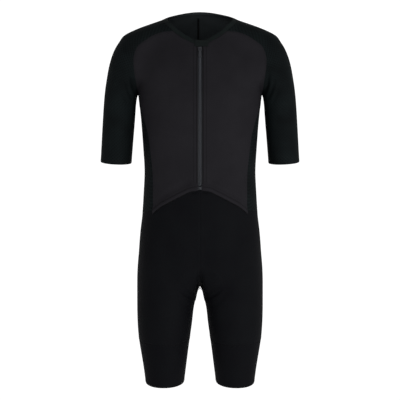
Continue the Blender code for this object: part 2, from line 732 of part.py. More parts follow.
def build_cloth():
    """Every piece of the suit."""
    s = lay_out()
    black = material("sleeve_knit", (0.011, 0.014, 0.015), 0.72)
    char = material("front_knit", (0.024, 0.024, 0.028), 0.6)
    lycra = material("shorts_knit", (0.012, 0.013, 0.016), 0.62)
    band_m = material("gripper_band", (0.010, 0.011, 0.014), 0.66)
    pad_m = material("pad_foam", (0.03, 0.03, 0.032), 0.8)

    def both(name, cloth, outer, inner, mat):
        points, faces = cloth.solid(outer, inner)
        make(name + "_left", points, faces, mat)
        make(name + "_right", *mirrored(points, faces), mat)

    front = front_net(s)
    c = Cloth()
    c.add(front)
    low = front[-1]

    def raised(p):
        return near(p, low) * (lift(p) + WALL)

    both("front", c, raised, lambda p: raised(p) - WALL, char)

    c = Cloth()
    hem = np.stack([s["hem_seam"][1:], s["hem_edge"][1:]])
    c.add(hem)
    both("front_hem", c, lambda p: lift(p) + HEM_WALL, lift, char)

    back = back_net(s)
    c = Cloth()
    c.add(back)
    both("back", c, 0.0, -WALL, black)

    sleeve = sleeve_net(s)
    c = Cloth()
    c.add(sleeve)
    both("sleeve", c, 0.0, -WALL, black)

    short, band = leg_net(s)
    c = Cloth()
    c.add(short)
    both("short", c, 0.0, -WALL, lycra)
    c = Cloth()
    c.add(band)
    both("leg_band", c, 0.0, -WALL, band_m)

    # neck binding: one strip from the zip round the back to the zip
    half = np.stack([s["neck"], s["neck_seam"]])
    other = half[:, ::-1] * np.array([-1.0, 1, 1])
    strip = np.concatenate([half, other[:, 1:]], axis=1)
    c = Cloth()
    c.add(strip)
    points, faces = c.solid(BINDING_RISE, -WALL)
    make("neck_binding", points, faces, black)

    build_pad(short, pad_m)
    build_zip(front, s, black)


def build_pad(short, mat):
    """Seat pad from the points of the shorts round the crotch, moved inside."""
    cols = short.shape[1]
    rise = N_RISE + 1
    first, last = rise - 4, rise + 2
    wide = 3
    c = Cloth()
    for side in (1.0, -1.0):
        g = short if side > 0 else short[:, ::-1] * np.array([-1.0, 1, 1])
        c.add(g[first:last + 1],
              lambda i, j: j < wide or j >= cols - 1 - wide)

    def top(p):
        """The side against the shorts, further off where the legs part."""
        parting = soft_step(9, 1, np.abs(p[:, 0])) * soft_step(-635, -660, p[:, 2])
        return -WALL - PAD_DROP - 2.8 * parting

    points, faces = c.solid(top, lambda p: top(p) - PAD_WALL, 1.0)
    make("seat_pad", points, faces, mat)


class Seat:
    """Frame on the cloth at the zip: across, out of the cloth, and down along it."""

    def __init__(self, height, tilt_height):
        self.top = on_front([0.0], [height])[0]
        out = normals(on_front([0.0], [tilt_height]))[0]
        out[0] = 0
        self.out = out / np.linalg.norm(out)
        self.down = np.cross([1.0, 0, 0], self.out)

    def place(self, local):
        local = np.atleast_2d(local)
        return (self.top + local[:, :1] * [1.0, 0, 0] + local[:, 1:2] * self.out
                + local[:, 2:] * self.down)


def build_zip(front, s, garage_mat):
    seat = Seat(SLIDER_TOP, SLIDER_TOP - SLIDER_LONG / 2)
    metal = material("zip_metal", (0.22, 0.225, 0.24), 0.32, 0.9)
    build_tapes(front, s)
    build_slider(seat, metal)
    build_pull(seat, metal)
    build_chain(front, seat)
    build_stop(front, metal)
    build_garage(s, garage_mat)


def build_tapes(front, s):
    """Two tapes under the fronts, which end over the shorts behind the front hem."""
    mat = material("zip_tape", (0.018, 0.018, 0.021), 0.7)
    z = np.concatenate([front[:, 0, 2], s["hem_edge"][1:2, 2] + 1.5])
    low = front[-1, 0, 2] + 0.5

    def outer(p):
        return np.where(p[:, 2] > low, -WALL - TAPE_DROP, 0.3 + TAPE_WALL)

    c = Cloth()
    c.add(np.stack([on_front(TAPE_IN, z), on_front(TAPE_OUT, z)], axis=1))
    points, faces = c.solid(outer, lambda p: outer(p) - TAPE_WALL, 0.0)
    make("zip_tape_left", points, faces, mat)
    make("zip_tape_right", *mirrored(points, faces), mat)


def build_slider(seat, mat):
    """Two plates joined by a post, with side flanges and a bail for the pull."""
    across = (-4.2, -3.2, -1.4, -0.8, 0.8, 1.4, 3.2, 4.2)
    out = (-4.3, -3.1, -1.2, 0.3, 1.5, 3.3, 4.3)
    down = (0.0, 1.5, 2.7, 3.1, 7.3, 8.5, SLIDER_LONG)

    def solid(i, j, k):
        x, d, length = mid_of(across, i), mid_of(out, j), mid_of(down, k)
        plate = 0.3 < d < 1.5 or -4.3 < d < -3.1
        post = abs(x) < 1.4 and -3.1 < d < 0.3 and length < 3.1
        flange = abs(x) > 3.2 and -1.2 < d < 0.3 and length > 3.1
        bail = abs(x) < 0.8 and 1.5 < d < 4.3 and 1.5 < length < 8.5
        eye = 1.5 < d < 3.3 and 2.7 < length < 7.3
        return plate or post or flange or (bail and not eye)

    verts, faces = cells(across, out, down, solid)
    points = seat.place(verts)
    make("zip_slider", points, fix(points, faces), mat, smooth=False)


def build_pull(seat, mat):
    """Pull tab on a bar through the bail, its own origin on the axis it turns about."""
    across = (-3.1, -2.1, 2.1, 3.1)
    out = (-0.55, 0.55)
    down = (-0.55, 0.55, 5.6, 8.0, 22.0, 23.4)
    window, tip = 1, 4     # rows of cells: the gap round the bail, and the narrow end

    def solid(i, j, k):
        middle = i == 1
        return {window: not middle, tip: middle}.get(k, True)

    verts, faces = cells(across, out, down, solid)
    verts[:, 0] *= np.interp(verts[:, 2], [5.6, 8.0, 23.4], [1.0, 0.86, 1.12])
    points = seat.place(verts + PULL_PIVOT)
    make("zip_pull", points, fix(points, faces), mat, smooth=False,
         origin=seat.place(PULL_PIVOT)[0])


def build_chain(front, seat):
    """The closed row of teeth, plain, from inside the slider to the front hem."""
    mat = material("zip_teeth", (0.10, 0.105, 0.12), 0.35)
    start = seat.place((0.0, 0.0, 3.6))[0][2]
    z = np.concatenate([[start], [v for v in front[:, 0, 2] if v < start - 6]])
    z[-1] = front[-1, 0, 2] + 1.2
    spine = on_front(0.0, z)
    out = normals(spine)
    out[:, 0] = 0
    out /= np.linalg.norm(out, axis=1)[:, None]
    centre = np.full(len(z), -WALL - TAPE_DROP - TAPE_WALL / 2 + 0.45)
    centre[-1] += 1.1
    flat, high = 0.5, TEETH_TALL / 2
    profile = [(-TEETH_HALF, -flat), (-TEETH_HALF, flat), (-1.6, high), (1.6, high),
               (TEETH_HALF, flat), (TEETH_HALF, -flat), (1.6, -high), (-1.6, -high)]
    points = np.array([at + [x, 0, 0] + way * (middle + d)
                       for at, way, middle in zip(spine, out, centre) for x, d in profile])
    m = len(profile)
    faces = [tuple(range(m)), tuple(reversed(range((len(z) - 1) * m, len(z) * m)))]
    for i in range(len(z) - 1):
        for k in range(m):
            a, b = i * m + k, i * m + (k + 1) % m
            faces.append((b, a, a + m, b + m))
    make("zip_chain", points, fix(points, faces), mat, smooth=False)


def build_stop(front, mat):
    """Bottom stop between the tape ends, over the shorts."""
    height = front[-1, 0, 2] - 4
    seat = Seat(height, height)
    verts, faces = cells((-2.5, 2.5), (0.5, 2.6), (-3.4, 3.4), lambda i, j, k: True)
    points = seat.place(verts)
    make("zip_bottom_stop", points, fix(points, faces), mat, smooth=False)


def build_garage(s, mat):
    """Strip of cloth folded over the top of the zip, further out on the wearer's left."""
    z = np.array([s["neck"][0, 2] - 0.6, -35.5, -41.2, SLIDER_TOP + 1.0])
    c = Cloth()
    c.add(np.stack([on_front(x, z) for x in GARAGE_ACROSS], axis=1))
    rise = BINDING_RISE + 0.4
    points, faces = c.solid(rise + 1.1, rise, 0.0)
    make("zip_garage", points, faces, mat)


def mid_of(steps, i):
    return (steps[i] + steps[i + 1]) / 2


def fix(points, faces):
    """Faces turned so that the closed surface faces outwards."""
    total = 0.0
    for f in faces:
        for k in range(1, len(f) - 1):
            total += np.dot(points[f[0]], np.cross(points[f[k]], points[f[k + 1]]))
    return faces if total > 0 else [tuple(reversed(f)) for f in faces]


def main():
    for obj in list(bpy.data.objects):
        bpy.data.objects.remove(obj, do_unlink=True)
    build_cloth()


main()
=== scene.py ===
"""Cycling skinsuit as sewn cloth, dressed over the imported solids, worn by nobody.

Sizes are in millimetres until a mesh is made. X is across the body with the wearer's left at +X,
the front faces -Y and Z is up, with the origin in the middle of the neck opening. The worn form
and its seam lines repeat the part's own tables, laid with finer nets, so each cloth piece lies
where its solid does.
"""
from __future__ import annotations

import logging
import math
from collections.abc import Callable
from dataclasses import dataclass, fields
from enum import Enum
from functools import partial
from typing import Any

import bpy
import numpy as np
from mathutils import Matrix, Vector

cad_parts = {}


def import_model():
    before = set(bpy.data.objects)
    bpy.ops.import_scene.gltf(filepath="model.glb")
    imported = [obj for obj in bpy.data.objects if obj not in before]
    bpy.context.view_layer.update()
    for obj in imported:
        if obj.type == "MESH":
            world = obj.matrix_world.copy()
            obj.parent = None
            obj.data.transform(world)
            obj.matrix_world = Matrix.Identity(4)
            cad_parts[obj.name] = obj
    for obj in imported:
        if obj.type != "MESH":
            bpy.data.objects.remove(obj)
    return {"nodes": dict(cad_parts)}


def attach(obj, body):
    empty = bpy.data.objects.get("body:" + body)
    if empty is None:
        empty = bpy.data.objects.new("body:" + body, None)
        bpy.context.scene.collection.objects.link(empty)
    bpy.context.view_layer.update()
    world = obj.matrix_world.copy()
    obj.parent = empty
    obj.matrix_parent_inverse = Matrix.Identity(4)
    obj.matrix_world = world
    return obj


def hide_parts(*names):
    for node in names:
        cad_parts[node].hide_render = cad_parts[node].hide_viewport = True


LOG = logging.getLogger("skinsuit")
MM = 0.001
Array = np.ndarray
Offset = Callable[[Array, Array], Array]

# ---------------------------------------------------------------- the worn form's tables
TORSO = (
    # height, half width, front depth, back depth, squareness
    (57.6, 27.2, 33, 40.8, 2),
    (34.6, 44.8, 42.8, 51.6, 2),
    (19.3, 70.1, 51.6, 64.3, 2),
    (0, 95.5, 60.4, 77, 2),
    (-28.9, 119.1, 72.3, 90.8, 2.05),
    (-58, 138.9, 86.1, 102.7, 2.1),
    (-96.9, 155.9, 102.9, 113.7, 2.2),
    (-140.8, 160.2, 116, 118.9, 2.25),
    (-185, 156.3, 121.2, 119.2, 2.3),
    (-229.4, 151.5, 120.5, 114.6, 2.3),
    (-274, 148.2, 116.9, 107, 2.3),
    (-323.9, 145.2, 112.2, 98.3, 2.25),
    (-368, 143.4, 108.5, 93.6, 2.2),
    (-414.4, 145.6, 106.8, 94.8, 2.2),
    (-465, 148.8, 107.1, 103.1, 2.25),
    (-516, 151.8, 106.4, 114.5, 2.3),
    (-567.2, 148.5, 104.7, 121.8, 2.3),
    (-618.7, 135.3, 101, 123.2, 2.25),
    (-665.4, 113.4, 93.1, 113.4, 2.2),
    (-722.7, 91.4, 81.3, 96.5, 2.1),
)
ARM = (
    # height, centre out, half width, centre back, half depth, squareness
    (38.5, 17, 22, 3.9, 21.4, 2),
    (22.1, 43, 34.6, 3.9, 29.2, 2),
    (7.7, 79.9, 44.8, 3.9, 36.1, 2),
    (-7.7, 111.2, 55.1, 3.9, 41.9, 2.05),
    (-22.2, 135.2, 58.4, 3.9, 46.9, 2.1),
    (-33.8, 147, 55.9, 3.9, 49.8, 2.1),
    (-48.3, 159.4, 53.1, 3.9, 52.8, 2.1),
    (-67.7, 171.6, 50.5, 3.9, 55.8, 2.1),
    (-97.9, 183.9, 47.8, 3.9, 56.9, 2.1),
    (-129.1, 192.5, 45.4, 3.9, 56, 2.1),
    (-155.5, 198.7, 43.5, 3, 54.1, 2.1),
    (-182.1, 203.6, 41.7, 3, 52.2, 2.1),
    (-219.5, 207.1, 41.3, 2, 50.4, 2.1),
    (-284, 212.1, 40.7, 1, 48.6, 2.1),
    (-359, 217.8, 40, 0, 46.8, 2.1),
)
LEG = (
    # height, centre out, half width, centre back, half depth, squareness
    (-434.6, 66, 40, 6, 50, 2.1),
    (-495.5, 77.2, 63.2, 8, 84.2, 2.15),
    (-526.2, 81.6, 69, 10, 98.5, 2.2),
    (-556.9, 84.2, 72.8, 13.1, 106.7, 2.25),
    (-598.1, 85.6, 76.6, 16.1, 113, 2.25),
    (-639.4, 86.2, 79, 15.2, 111.2, 2.2),
    (-681, 86.7, 79.2, 11.1, 104.4, 2.15),
    (-703.9, 88.1, 77.9, 9.1, 100.4, 2.1),
    (-720.6, 90.1, 76, 8.1, 98, 2.1),
    (-768.8, 92.9, 72.4, 5.1, 91.6, 2.1),
    (-802.5, 94.2, 69.1, 4.1, 86.7, 2.1),
    (-843.7, 94.3, 63.5, 3.1, 78.7, 2.1),
    (-885.2, 93.7, 57.7, 2, 70.7, 2.1),
    (-934.3, 93.7, 51.8, 2.1, 62.7, 2.1),
    (-977.2, 94, 48, 2.1, 58.7, 2.1),
)
FOLDS = (
    # from x, from z, to x, to z, half width, depth; all on the front, on both sides
    (172.5, -93, 147.7, -171.3, 9, 2.6),      # sleeve falling into the underarm
    (118.3, -191, 155.7, -177.2, 9, 1.6),     # side of the chest under the arm
    (60.7, -639.7, 12.2, -691.7, 10, 2.2),    # groin, down to the inside of the leg
    (72.9, -668.8, 22.3, -718.8, 9, 1.6),     # second crease below it
)
CREASES = (
    # finer than the folds and only in the cloth: the same columns
    (172, -120, 165, -162, 5, 5.4),           # gathers of the sleeve at the underarm
    (187, -134, 173, -176, 4.5, 3.4),
    (198, -152, 182, -194, 4.5, 1.8),
    (0, -405.5, 26, -409.5, 3.5, 2.8),        # under the front's hem, beside the zip
    (0, -614, 0, -700, 7.5, 9.5),             # where the legs part
    (55, -662, 20, -696, 4, 3.6),             # under the edge of the seat pad
    (40, -690, 18, -710, 4.5, 1.4),
)
NECK_EDGE = (
    # direction round the neck (-90 is the front, 90 the back), height
    (-90, -30.9), (-78, -29), (-66, -21.7), (-54, -13.5), (-43, -4.3), (-34, 6.7), (-20, 17.3),
    (0, 23.5), (25, 29.8), (50, 34.4), (72, 36.8), (90, 37.6),
)
RAGLAN_FRONT = (
    # x, y, z from the neck binding to just above the underarm
    (102.5, -45.9, -13), (121.1, -45.9, -22.9), (139.7, -46.9, -34), (152.5, -48.4, -43.9),
    (161.1, -50.9, -56.1), (164.9, -52.9, -70.6), (166.3, -53.9, -91.1), (165.1, -53, -110.6),
    (162.1, -49.1, -130.1), (159.3, -35.4, -148.7), (159, -17.7, -163.4),
)
RAGLAN_BACK = (
    (101.4, 53.6, -3.8), (121, 58.5, -13.5), (139.6, 61.5, -26), (153.4, 63.5, -40.5),
    (162.3, 64.6, -58), (166, 64.6, -79.3), (165.7, 62.8, -100.8), (163.5, 57.9, -124.2),
    (160.7, 45.2, -145.7), (159.4, 24.6, -163.4),
)
SIDE_SEAM = (
    # x, y, z from just under the underarm to the corner of the front hem
    (156.2, -11.8, -190.9), (149.5, -35.5, -210.7), (141.8, -52.4, -231.5),
    (133.4, -62.3, -258.2), (128.5, -65.9, -286.1), (125.6, -66, -318), (122.7, -65.6, -346),
    (120.8, -65.2, -372.1), (120.5, -65.9, -408.4), (120.2, -68, -434.7), (119.9, -69.3, -458.8),
)
FRONT_HEM = (
    # x, y, z of the seam above the front hem, from the zip outwards
    (0, -107.2, -391.9), (24.9, -106, -395.9), (44.9, -103.2, -406), (62.9, -98.8, -416),
    (80.4, -92.9, -426.4), (101, -83, -439.7), (119.9, -69.3, -458.8),
)
WAIST_SEAM = (
    # x, y, z from the corner of the front hem round to the centre back
    (119.9, -69.3, -458.8), (136.2, -48.1, -465), (147.2, -20, -467.3), (149.2, 8, -466),
    (146.1, 40, -462.9), (132.1, 68.1, -458.8), (108, 89.1, -454.7), (75, 99, -451.6),
    (38, 103, -449.6), (0, 104, -449.6),
)
SLEEVE_AXIS = (
    # share of the raglan seam, centre x, y, z, then the way to the top of the arm, x and z
    (0, 64.4, 3.9, -21.2, 0.1, 1),
    (0.22, 93.8, 4.9, -42.5, 0.22, 0.98),
    (0.45, 123.3, 4.9, -69.6, 0.45, 0.89),
    (0.7, 155, 3.9, -104.7, 0.8, 0.6),
    (1, 186.9, 3, -155.5, 1, 0.18),
)


@dataclass(frozen=True)
class SuitSizes:
    """Sizes in millimetres that several pieces share; the same as the solids'."""

    wall: float = 1.4
    hem_wall: float = 2.0
    binding: float = 10.0
    binding_rise: float = 0.6
    hem: float = 10.0
    zip_slot: float = 5.5
    tape_in: float = 2.9
    tape_out: float = 15.0
    tape_wall: float = 0.6
    tape_drop: float = 0.4
    teeth_tall: float = 2.4
    slider_top: float = -47.8
    crotch: float = -656.0
    cuff: float = -345.5
    cuff_x: float = 217.0
    cuff_tilt: float = 0.055
    leg_seam: float = -812.0
    leg_end: float = -934.3
    leg_end_tilt: float = -0.015
    pad_wall: float = 7.0
    pad_drop: float = 0.8
    neck_side_front: float = -41.0
    neck_side_back: float = 34.0


@dataclass(frozen=True)
class NetCounts:
    """Steps of the nets along each seam, the same as the solids', and how much finer cloth is."""

    front: int = 8
    sleeve: int = 16
    back: int = 12
    raglan: int = 10
    side: int = 13
    arm: int = 8
    rise: int = 11
    thigh: int = 6
    band: int = 5
    finer: int = 7


SIZES = SuitSizes()
STEPS = NetCounts()


class Side(Enum):
    """The wearer's side a piece is on."""

    LEFT = 1.0
    RIGHT = -1.0

    @property
    def flip(self) -> Array:
        """What points of the left side are multiplied by to lie on this side."""
        return np.array([self.value, 1.0, 1.0])


# ---------------------------------------------------------------- the worn form
def spline(rows: tuple) -> tuple[Array, Array, Array]:
    """Natural cubic through a table whose first column is the height.

    Args:
        rows: The table's rows.

    Returns:
        Heights, the other columns, and their second derivatives.
    """
    data = np.array(sorted(rows), float)
    x, y = data[:, 0], data[:, 1:]
    h = np.diff(x)
    grid, rhs = np.eye(len(x)), np.zeros_like(y)
    for i in range(1, len(x) - 1):
        grid[i, i - 1:i + 2] = h[i - 1], 2 * (h[i - 1] + h[i]), h[i]
        rhs[i] = 6 * ((y[i + 1] - y[i]) / h[i] - (y[i] - y[i - 1]) / h[i - 1])
    return x, y, np.linalg.solve(grid, rhs)


def read(table: tuple[Array, Array, Array], at: Array) -> Array:
    """Columns of a splined table at the given heights.

    Args:
        table: What spline() returned.
        at: Heights.

    Returns:
        One row for each column of the table.
    """
    x, y, bend = table
    at = np.clip(at, x[0], x[-1])
    i = np.clip(np.searchsorted(x, at) - 1, 0, len(x) - 2)
    h = (x[i + 1] - x[i])[:, None]
    a, b = (x[i + 1] - at)[:, None] / h, (at - x[i])[:, None] / h
    both = a * y[i] + b * y[i + 1]
    return (both + ((a ** 3 - a) * bend[i] + (b ** 3 - b) * bend[i + 1]) * h ** 2 / 6).T


def xyz(x: Any, y: Any, z: Any) -> Array:
    """Points or ways from their coordinates, each an array or one number for all."""
    return np.stack(np.broadcast_arrays(*(np.atleast_1d(v).astype(float) for v in (x, y, z))), 1)


def unit(ways: Array, least: float = 0.0) -> Array:
    """Ways scaled to a length of one, the least added to each length before."""
    return ways / (np.linalg.norm(ways, axis=1)[:, None] + least)


def soft_min(a: Array, b: Array, k: Any) -> Array:
    """Smaller of two fields, blended over a width k."""
    h = np.maximum(k - np.abs(a - b), 0) / k
    return np.minimum(a, b) - h * h * k / 4


def distance(p: Array, line: Array) -> Array:
    """Distance of each point from the nearest point of a line."""
    return np.sqrt(np.min(np.sum((p[:, None, :] - line[None, :, :]) ** 2, axis=2), axis=1))


def soft_step(low: float, high: float, v: Array) -> Array:
    """Smooth rise from 0 at low to 1 at high."""
    t = np.clip((v - low) / (high - low), 0, 1)
    return t * t * (3 - 2 * t)


def section(u: Array, v: Array, half_u: Array, half_v: Array, power: Array) -> Array:
    """Distance outside a rounded section, measured along the ray from its centre.

    Args:
        u: Places across the section, from its centre.
        v: Places along its depth.
        half_u: Its half width.
        half_v: Its half depth.
        power: How square it is; 2 is an ellipse.

    Returns:
        A distance for each place, below zero inside.
    """
    r = np.hypot(u, v) + 1e-9
    q = ((np.abs(u) / half_u) ** power + (np.abs(v) / half_v) ** power) ** (1 / power) + 1e-12
    return r - r / q


class WornForm:
    """The body form that the suit is stretched over, as a smooth union of round sections."""

    ARM_END, LEG_TOP = -394.0, -435.0          # heights where the arms end and the legs start
    TORSO_BLEND, LEGS_BLEND = 70.0, 6.0        # mm over which the torso closes and the legs meet
    ARM_BLEND = (4.0, 44.0, -171.0, -114.0)    # least, how much more, and from and to what height
    LEG_BLEND = (18.0, 28.0, 100.0, 30.0)      # the same, by the distance from the middle
    TROUGH = (0.12, 0.76)                      # start of a trough on a half wave, and its share
    FRONT = (5.0, -30.0)                       # from and to what y the troughs come in
    HALVINGS = 22                              # of a ray's last step
    PROBE = 0.4                                # mm each way for its slope, as points settle

    def __init__(self) -> None:
        """Spline the tables."""
        self.torso, self.arm, self.leg = spline(TORSO), spline(ARM), spline(LEG)

    def outside(self, p: Array) -> Array:
        """How far points are outside the form.

        Args:
            p: Points, one to a row.

        Returns:
            A signed size for each point, about its distance near the form.
        """
        x, y, z = p.T
        across = np.abs(x)
        half, front, back, power = read(self.torso, z)
        torso = section(across, y, half, np.where(y < 0, front, back), power)
        torso = -soft_min(-torso, z - SIZES.crotch, self.TORSO_BLEND)

        def limb(table: tuple[Array, Array, Array], side: float) -> Array:
            """Distance outside the arm or leg of one side."""
            out, wide, mid, deep, power = read(table, z)
            return section(side * across - out, y - mid, wide, deep, power)

        arm = np.maximum(limb(self.arm, 1), self.ARM_END - z)
        leg, other = (np.maximum(limb(self.leg, side), z - self.LEG_TOP) for side in (1, -1))
        least, more, *span = self.ARM_BLEND
        upper = soft_min(torso, arm, least + more * soft_step(*span, z))
        legs = soft_min(leg, other, self.LEGS_BLEND)
        least, more, *span = self.LEG_BLEND
        whole = soft_min(upper, legs, least + more * soft_step(*span, across))
        return whole + self.troughs(p, FOLDS)

    @staticmethod
    def troughs(p: Array, table: tuple) -> Array:
        """Depth of a table's troughs in the front of the form.

        Args:
            p: Points, one to a row.
            table: Rows of two ends, half width and depth.

        Returns:
            A depth for each point.
        """
        x, y, z = p.T
        across, total, (start, share) = np.abs(x), np.zeros(len(p)), WornForm.TROUGH
        for x0, z0, x1, z1, wide, deep in table:
            dx, dz = x1 - x0, z1 - z0
            t = np.clip(((across - x0) * dx + (z - z0) * dz) / (dx * dx + dz * dz), 0, 1)
            far = np.hypot(across - x0 - t * dx, z - z0 - t * dz)
            total += deep * np.sin(np.pi * (start + share * t)) * np.exp(-(far / wide) ** 2)
        return total * soft_step(*WornForm.FRONT, y)

    def slope(self, p: Array, h: float) -> Array:
        """Gradient of the form at points.

        Args:
            p: Points, one to a row.
            h: Half the step.

        Returns:
            One gradient for each point.
        """
        g = np.zeros_like(p)
        for axis in range(3):
            step = np.zeros(3)
            step[axis] = h
            g[:, axis] = (self.outside(p + step) - self.outside(p - step)) / (2 * h)
        return g

    def normals(self, p: Array, h: float = 0.6) -> Array:
        """Unit outward directions of the form at points."""
        return unit(self.slope(p, h), 1e-12)

    def settle(self, p: Array, times: int = 8) -> Array:
        """Points moved onto the form by the shortest way.

        Args:
            p: Points near the form.
            times: How often they are moved.

        Returns:
            The moved points.
        """
        p = np.array(p, float)
        for _ in range(times):
            g = self.slope(p, self.PROBE)
            p = p - (self.outside(p) / (np.sum(g * g, axis=1) + 1e-9))[:, None] * g
        return p

    def settle_flat(self, p: Array) -> Array:
        """Points moved onto the form and kept in the middle plane.

        Args:
            p: Points near both.

        Returns:
            The moved points.
        """
        p = self.settle(p)
        p[:, 0] = 0.0
        return p

    def cast(self, origin: Array, way: Array, least_x: float | None = None,
             reach: float = 290.0, step: float = 5.0) -> Array:
        """First place where rays from inside leave the form.

        Args:
            origin: Where each ray starts, or one place for all of them.
            way: Which way each ray goes, or one way for all, of any length.
            least_x: If given, rays also stop at this plane between the legs.
            reach: How far the rays go.
            step: Coarse step of the search.

        Returns:
            One point for each ray.
        """
        def value(q: Array) -> Array:
            """The form's field, cut off at the plane between the legs."""
            v = self.outside(q)
            return v if least_x is None else np.maximum(v, least_x - q[:, 0])

        origin, way = np.broadcast_arrays(origin, unit(way))
        steps = np.arange(0, reach, step)
        probe = origin[:, None, :] + steps[None, :, None] * way[:, None, :]
        v = value(probe.reshape(-1, 3)).reshape(len(origin), -1)
        crossing = (v[:, :-1] <= 0) & (v[:, 1:] > 0)
        if not crossing.any(axis=1).all():
            raise ValueError("a ray never leaves the form")
        first = np.argmax(crossing, axis=1)
        low, high = steps[first], steps[first] + step
        for _ in range(self.HALVINGS):
            mid = (low + high) / 2
            inside = value(origin + mid[:, None] * way) <= 0
            low, high = np.where(inside, mid, low), np.where(inside, high, mid)
        return origin + ((low + high) / 2)[:, None] * way

    def on_front(self, x: Any, z: Any) -> Array:
        """Points of the form straight in front of the places x, z."""
        return self.cast(xyz(x, 0, z), xyz(0, -1, 0))

    def limb_ring(self, middle: tuple, angles: Array, tilt: float) -> Array:
        """Closed ring of points of the form round a limb.

        Args:
            middle: x, y, z of the middle.
            angles: Angles round it, the last a turn after the first.
            tilt: Rise of the ring for each step out.

        Returns:
            The points of the ring.
        """
        way = xyz(np.cos(angles), np.sin(angles), tilt * np.cos(angles))
        ring = self.cast(xyz(*middle), way)
        ring[0] = ring[-1]
        return ring


FORM = WornForm()


# ---------------------------------------------------------------- lines on the form
def smooth_line(points: Any, dense: int = 24) -> Array:
    """Catmull-Rom line through points, with even knots.

    Args:
        points: The points to pass through.
        dense: Steps between two of them.

    Returns:
        The line's points.
    """
    p = np.asarray(points, float)
    p = np.concatenate([2 * p[:1] - p[1:2], p, 2 * p[-1:] - p[-2:-1]])
    t = np.linspace(0, 1, dense, endpoint=False).reshape(-1, *[1] * (p.ndim - 1))
    out = []
    for a, b, c, d in zip(p[:-3], p[1:-2], p[2:-1], p[3:]):
        out.append(0.5 * (2 * b + (c - a) * t + (2 * a - 5 * b + 4 * c - d) * t ** 2
                          + (3 * b - a - 3 * c + d) * t ** 3))
    return np.concatenate(out + [p[-2:-1]])


def finer_rows(grid: Array, breaks: tuple[int, ...] = ()) -> Array:
    """A net with more rows, smooth between its breaks.

    Args:
        grid: Net, or a line of points.
        breaks: Rows at which the net may have a corner.

    Returns:
        The net with STEPS.finer rows for each.
    """
    stops = [0, *breaks, len(grid) - 1]
    parts = [smooth_line(grid[a:b + 1], STEPS.finer)[:-1] for a, b in zip(stops, stops[1:])]
    return np.concatenate(parts + [grid[-1:]])


def finer(grid: Array, rows: tuple[int, ...] = (), cols: tuple[int, ...] = ()) -> Array:
    """A finer net on the form.

    Args:
        grid: Net of points on the form.
        rows: Rows at which it may have a corner.
        cols: Columns at which it may have one.

    Returns:
        The finer net; its points of the middle plane stay there.
    """
    fine = finer_rows(grid, rows)
    fine = finer_rows(fine.swapaxes(0, 1), cols).swapaxes(0, 1)
    flat = fine[..., 0] == 0.0
    fine = FORM.settle(fine.reshape(-1, 3)).reshape(fine.shape)
    fine[flat, 0] = 0.0
    return fine


def even(line: Array, count: int) -> Array:
    """A line resampled to count even steps.

    Args:
        line: Its points.
        count: How many steps.

    Returns:
        The points of the new line.
    """
    run = np.concatenate([[0], np.cumsum(np.linalg.norm(np.diff(line, axis=0), axis=1))])
    at = np.linspace(0, 1, count + 1) * run[-1]
    return np.stack([np.interp(at, run, line[:, k]) for k in range(3)], axis=1)


def seam(points: list, count: int) -> Array:
    """Seam line through table points, laid on the form and evenly stepped; its ends stay.

    Args:
        points: The points to pass through.
        count: How many steps.

    Returns:
        The points of the seam.
    """
    line = FORM.settle(even(FORM.settle(smooth_line(points)), count))
    line[0], line[-1] = FORM.settle(np.array([points[0], points[-1]]))
    return line


def beside(line: Array, width: float, closed_x: bool = False, step: float = 2.0) -> Array:
    """A line moved sideways along the form.

    Args:
        line: Points on the form.
        width: How far, to the side that is right-handed about the outward way.
        closed_x: Keep the ends from moving across, for a line that meets its mirror image.
        step: How far it moves before it is settled again.

    Returns:
        The moved line, as many points.
    """
    n_steps = math.ceil(abs(width) / step)
    for _ in range(n_steps):
        aside = unit(np.cross(np.gradient(line, axis=0), FORM.normals(line)))
        if closed_x:
            aside[0, 0] = aside[-1, 0] = 0.0
        line = FORM.settle(line + aside * width / n_steps, 4)
    return line


class Rows:
    """Where the rays of each row of a net start and which way they face."""

    NEAR, TIMES = 0.02, 4     # mm from the plane where a ray has stopped, and how often it settles

    def __init__(self, centres: Array, outs: Array, least_x: float | None = None) -> None:
        """Keep the row frames, square to each other.

        Args:
            centres: Where the rays of each row start.
            outs: Which way each row faces.
            least_x: If given, the plane at which rays between the legs stop.
        """
        self.least_x = least_x
        self.c = np.array(centres, float)
        self.e1 = np.broadcast_to(unit(outs), self.c.shape)
        self.e2 = unit([0.0, 1.0, 0.0] - self.e1[:, 1:2] * self.e1)
        self.n = np.cross(self.e1, self.e2)

    def angles(self, i: int, points: Array) -> tuple[Array, Array]:
        """Angle and lift of points as seen from the start of row i.

        Args:
            i: The row.
            points: The points.

        Returns:
            Degrees in the row's plane and rise out of it, for each point.
        """
        d = points - self.c[i]
        a, b, n = d @ self.e1[i], d @ self.e2[i], d @ self.n[i]
        return np.degrees(np.arctan2(b, a)), n / np.hypot(a, b)

    def rays(self, i: int, angle: Array, lift: Array) -> Array:
        """Points of the form that row i sees at the given angles and lifts.

        Args:
            i: The row.
            angle: Degrees in the row's plane.
            lift: Rise out of it.

        Returns:
            One point for each angle.
        """
        a = np.radians(angle)[:, None]
        way = np.cos(a) * self.e1[i] + np.sin(a) * self.e2[i] + lift[:, None] * self.n[i]
        points = FORM.cast(self.c[i], way, self.least_x)
        if self.least_x is not None:
            stopped = points[:, 0] < self.least_x + self.NEAR
            for _ in range(self.TIMES if stopped.any() else 0):
                points[stopped] = FORM.settle(points[stopped])
                points[stopped, 0] = np.maximum(points[stopped, 0], self.least_x)
        return points


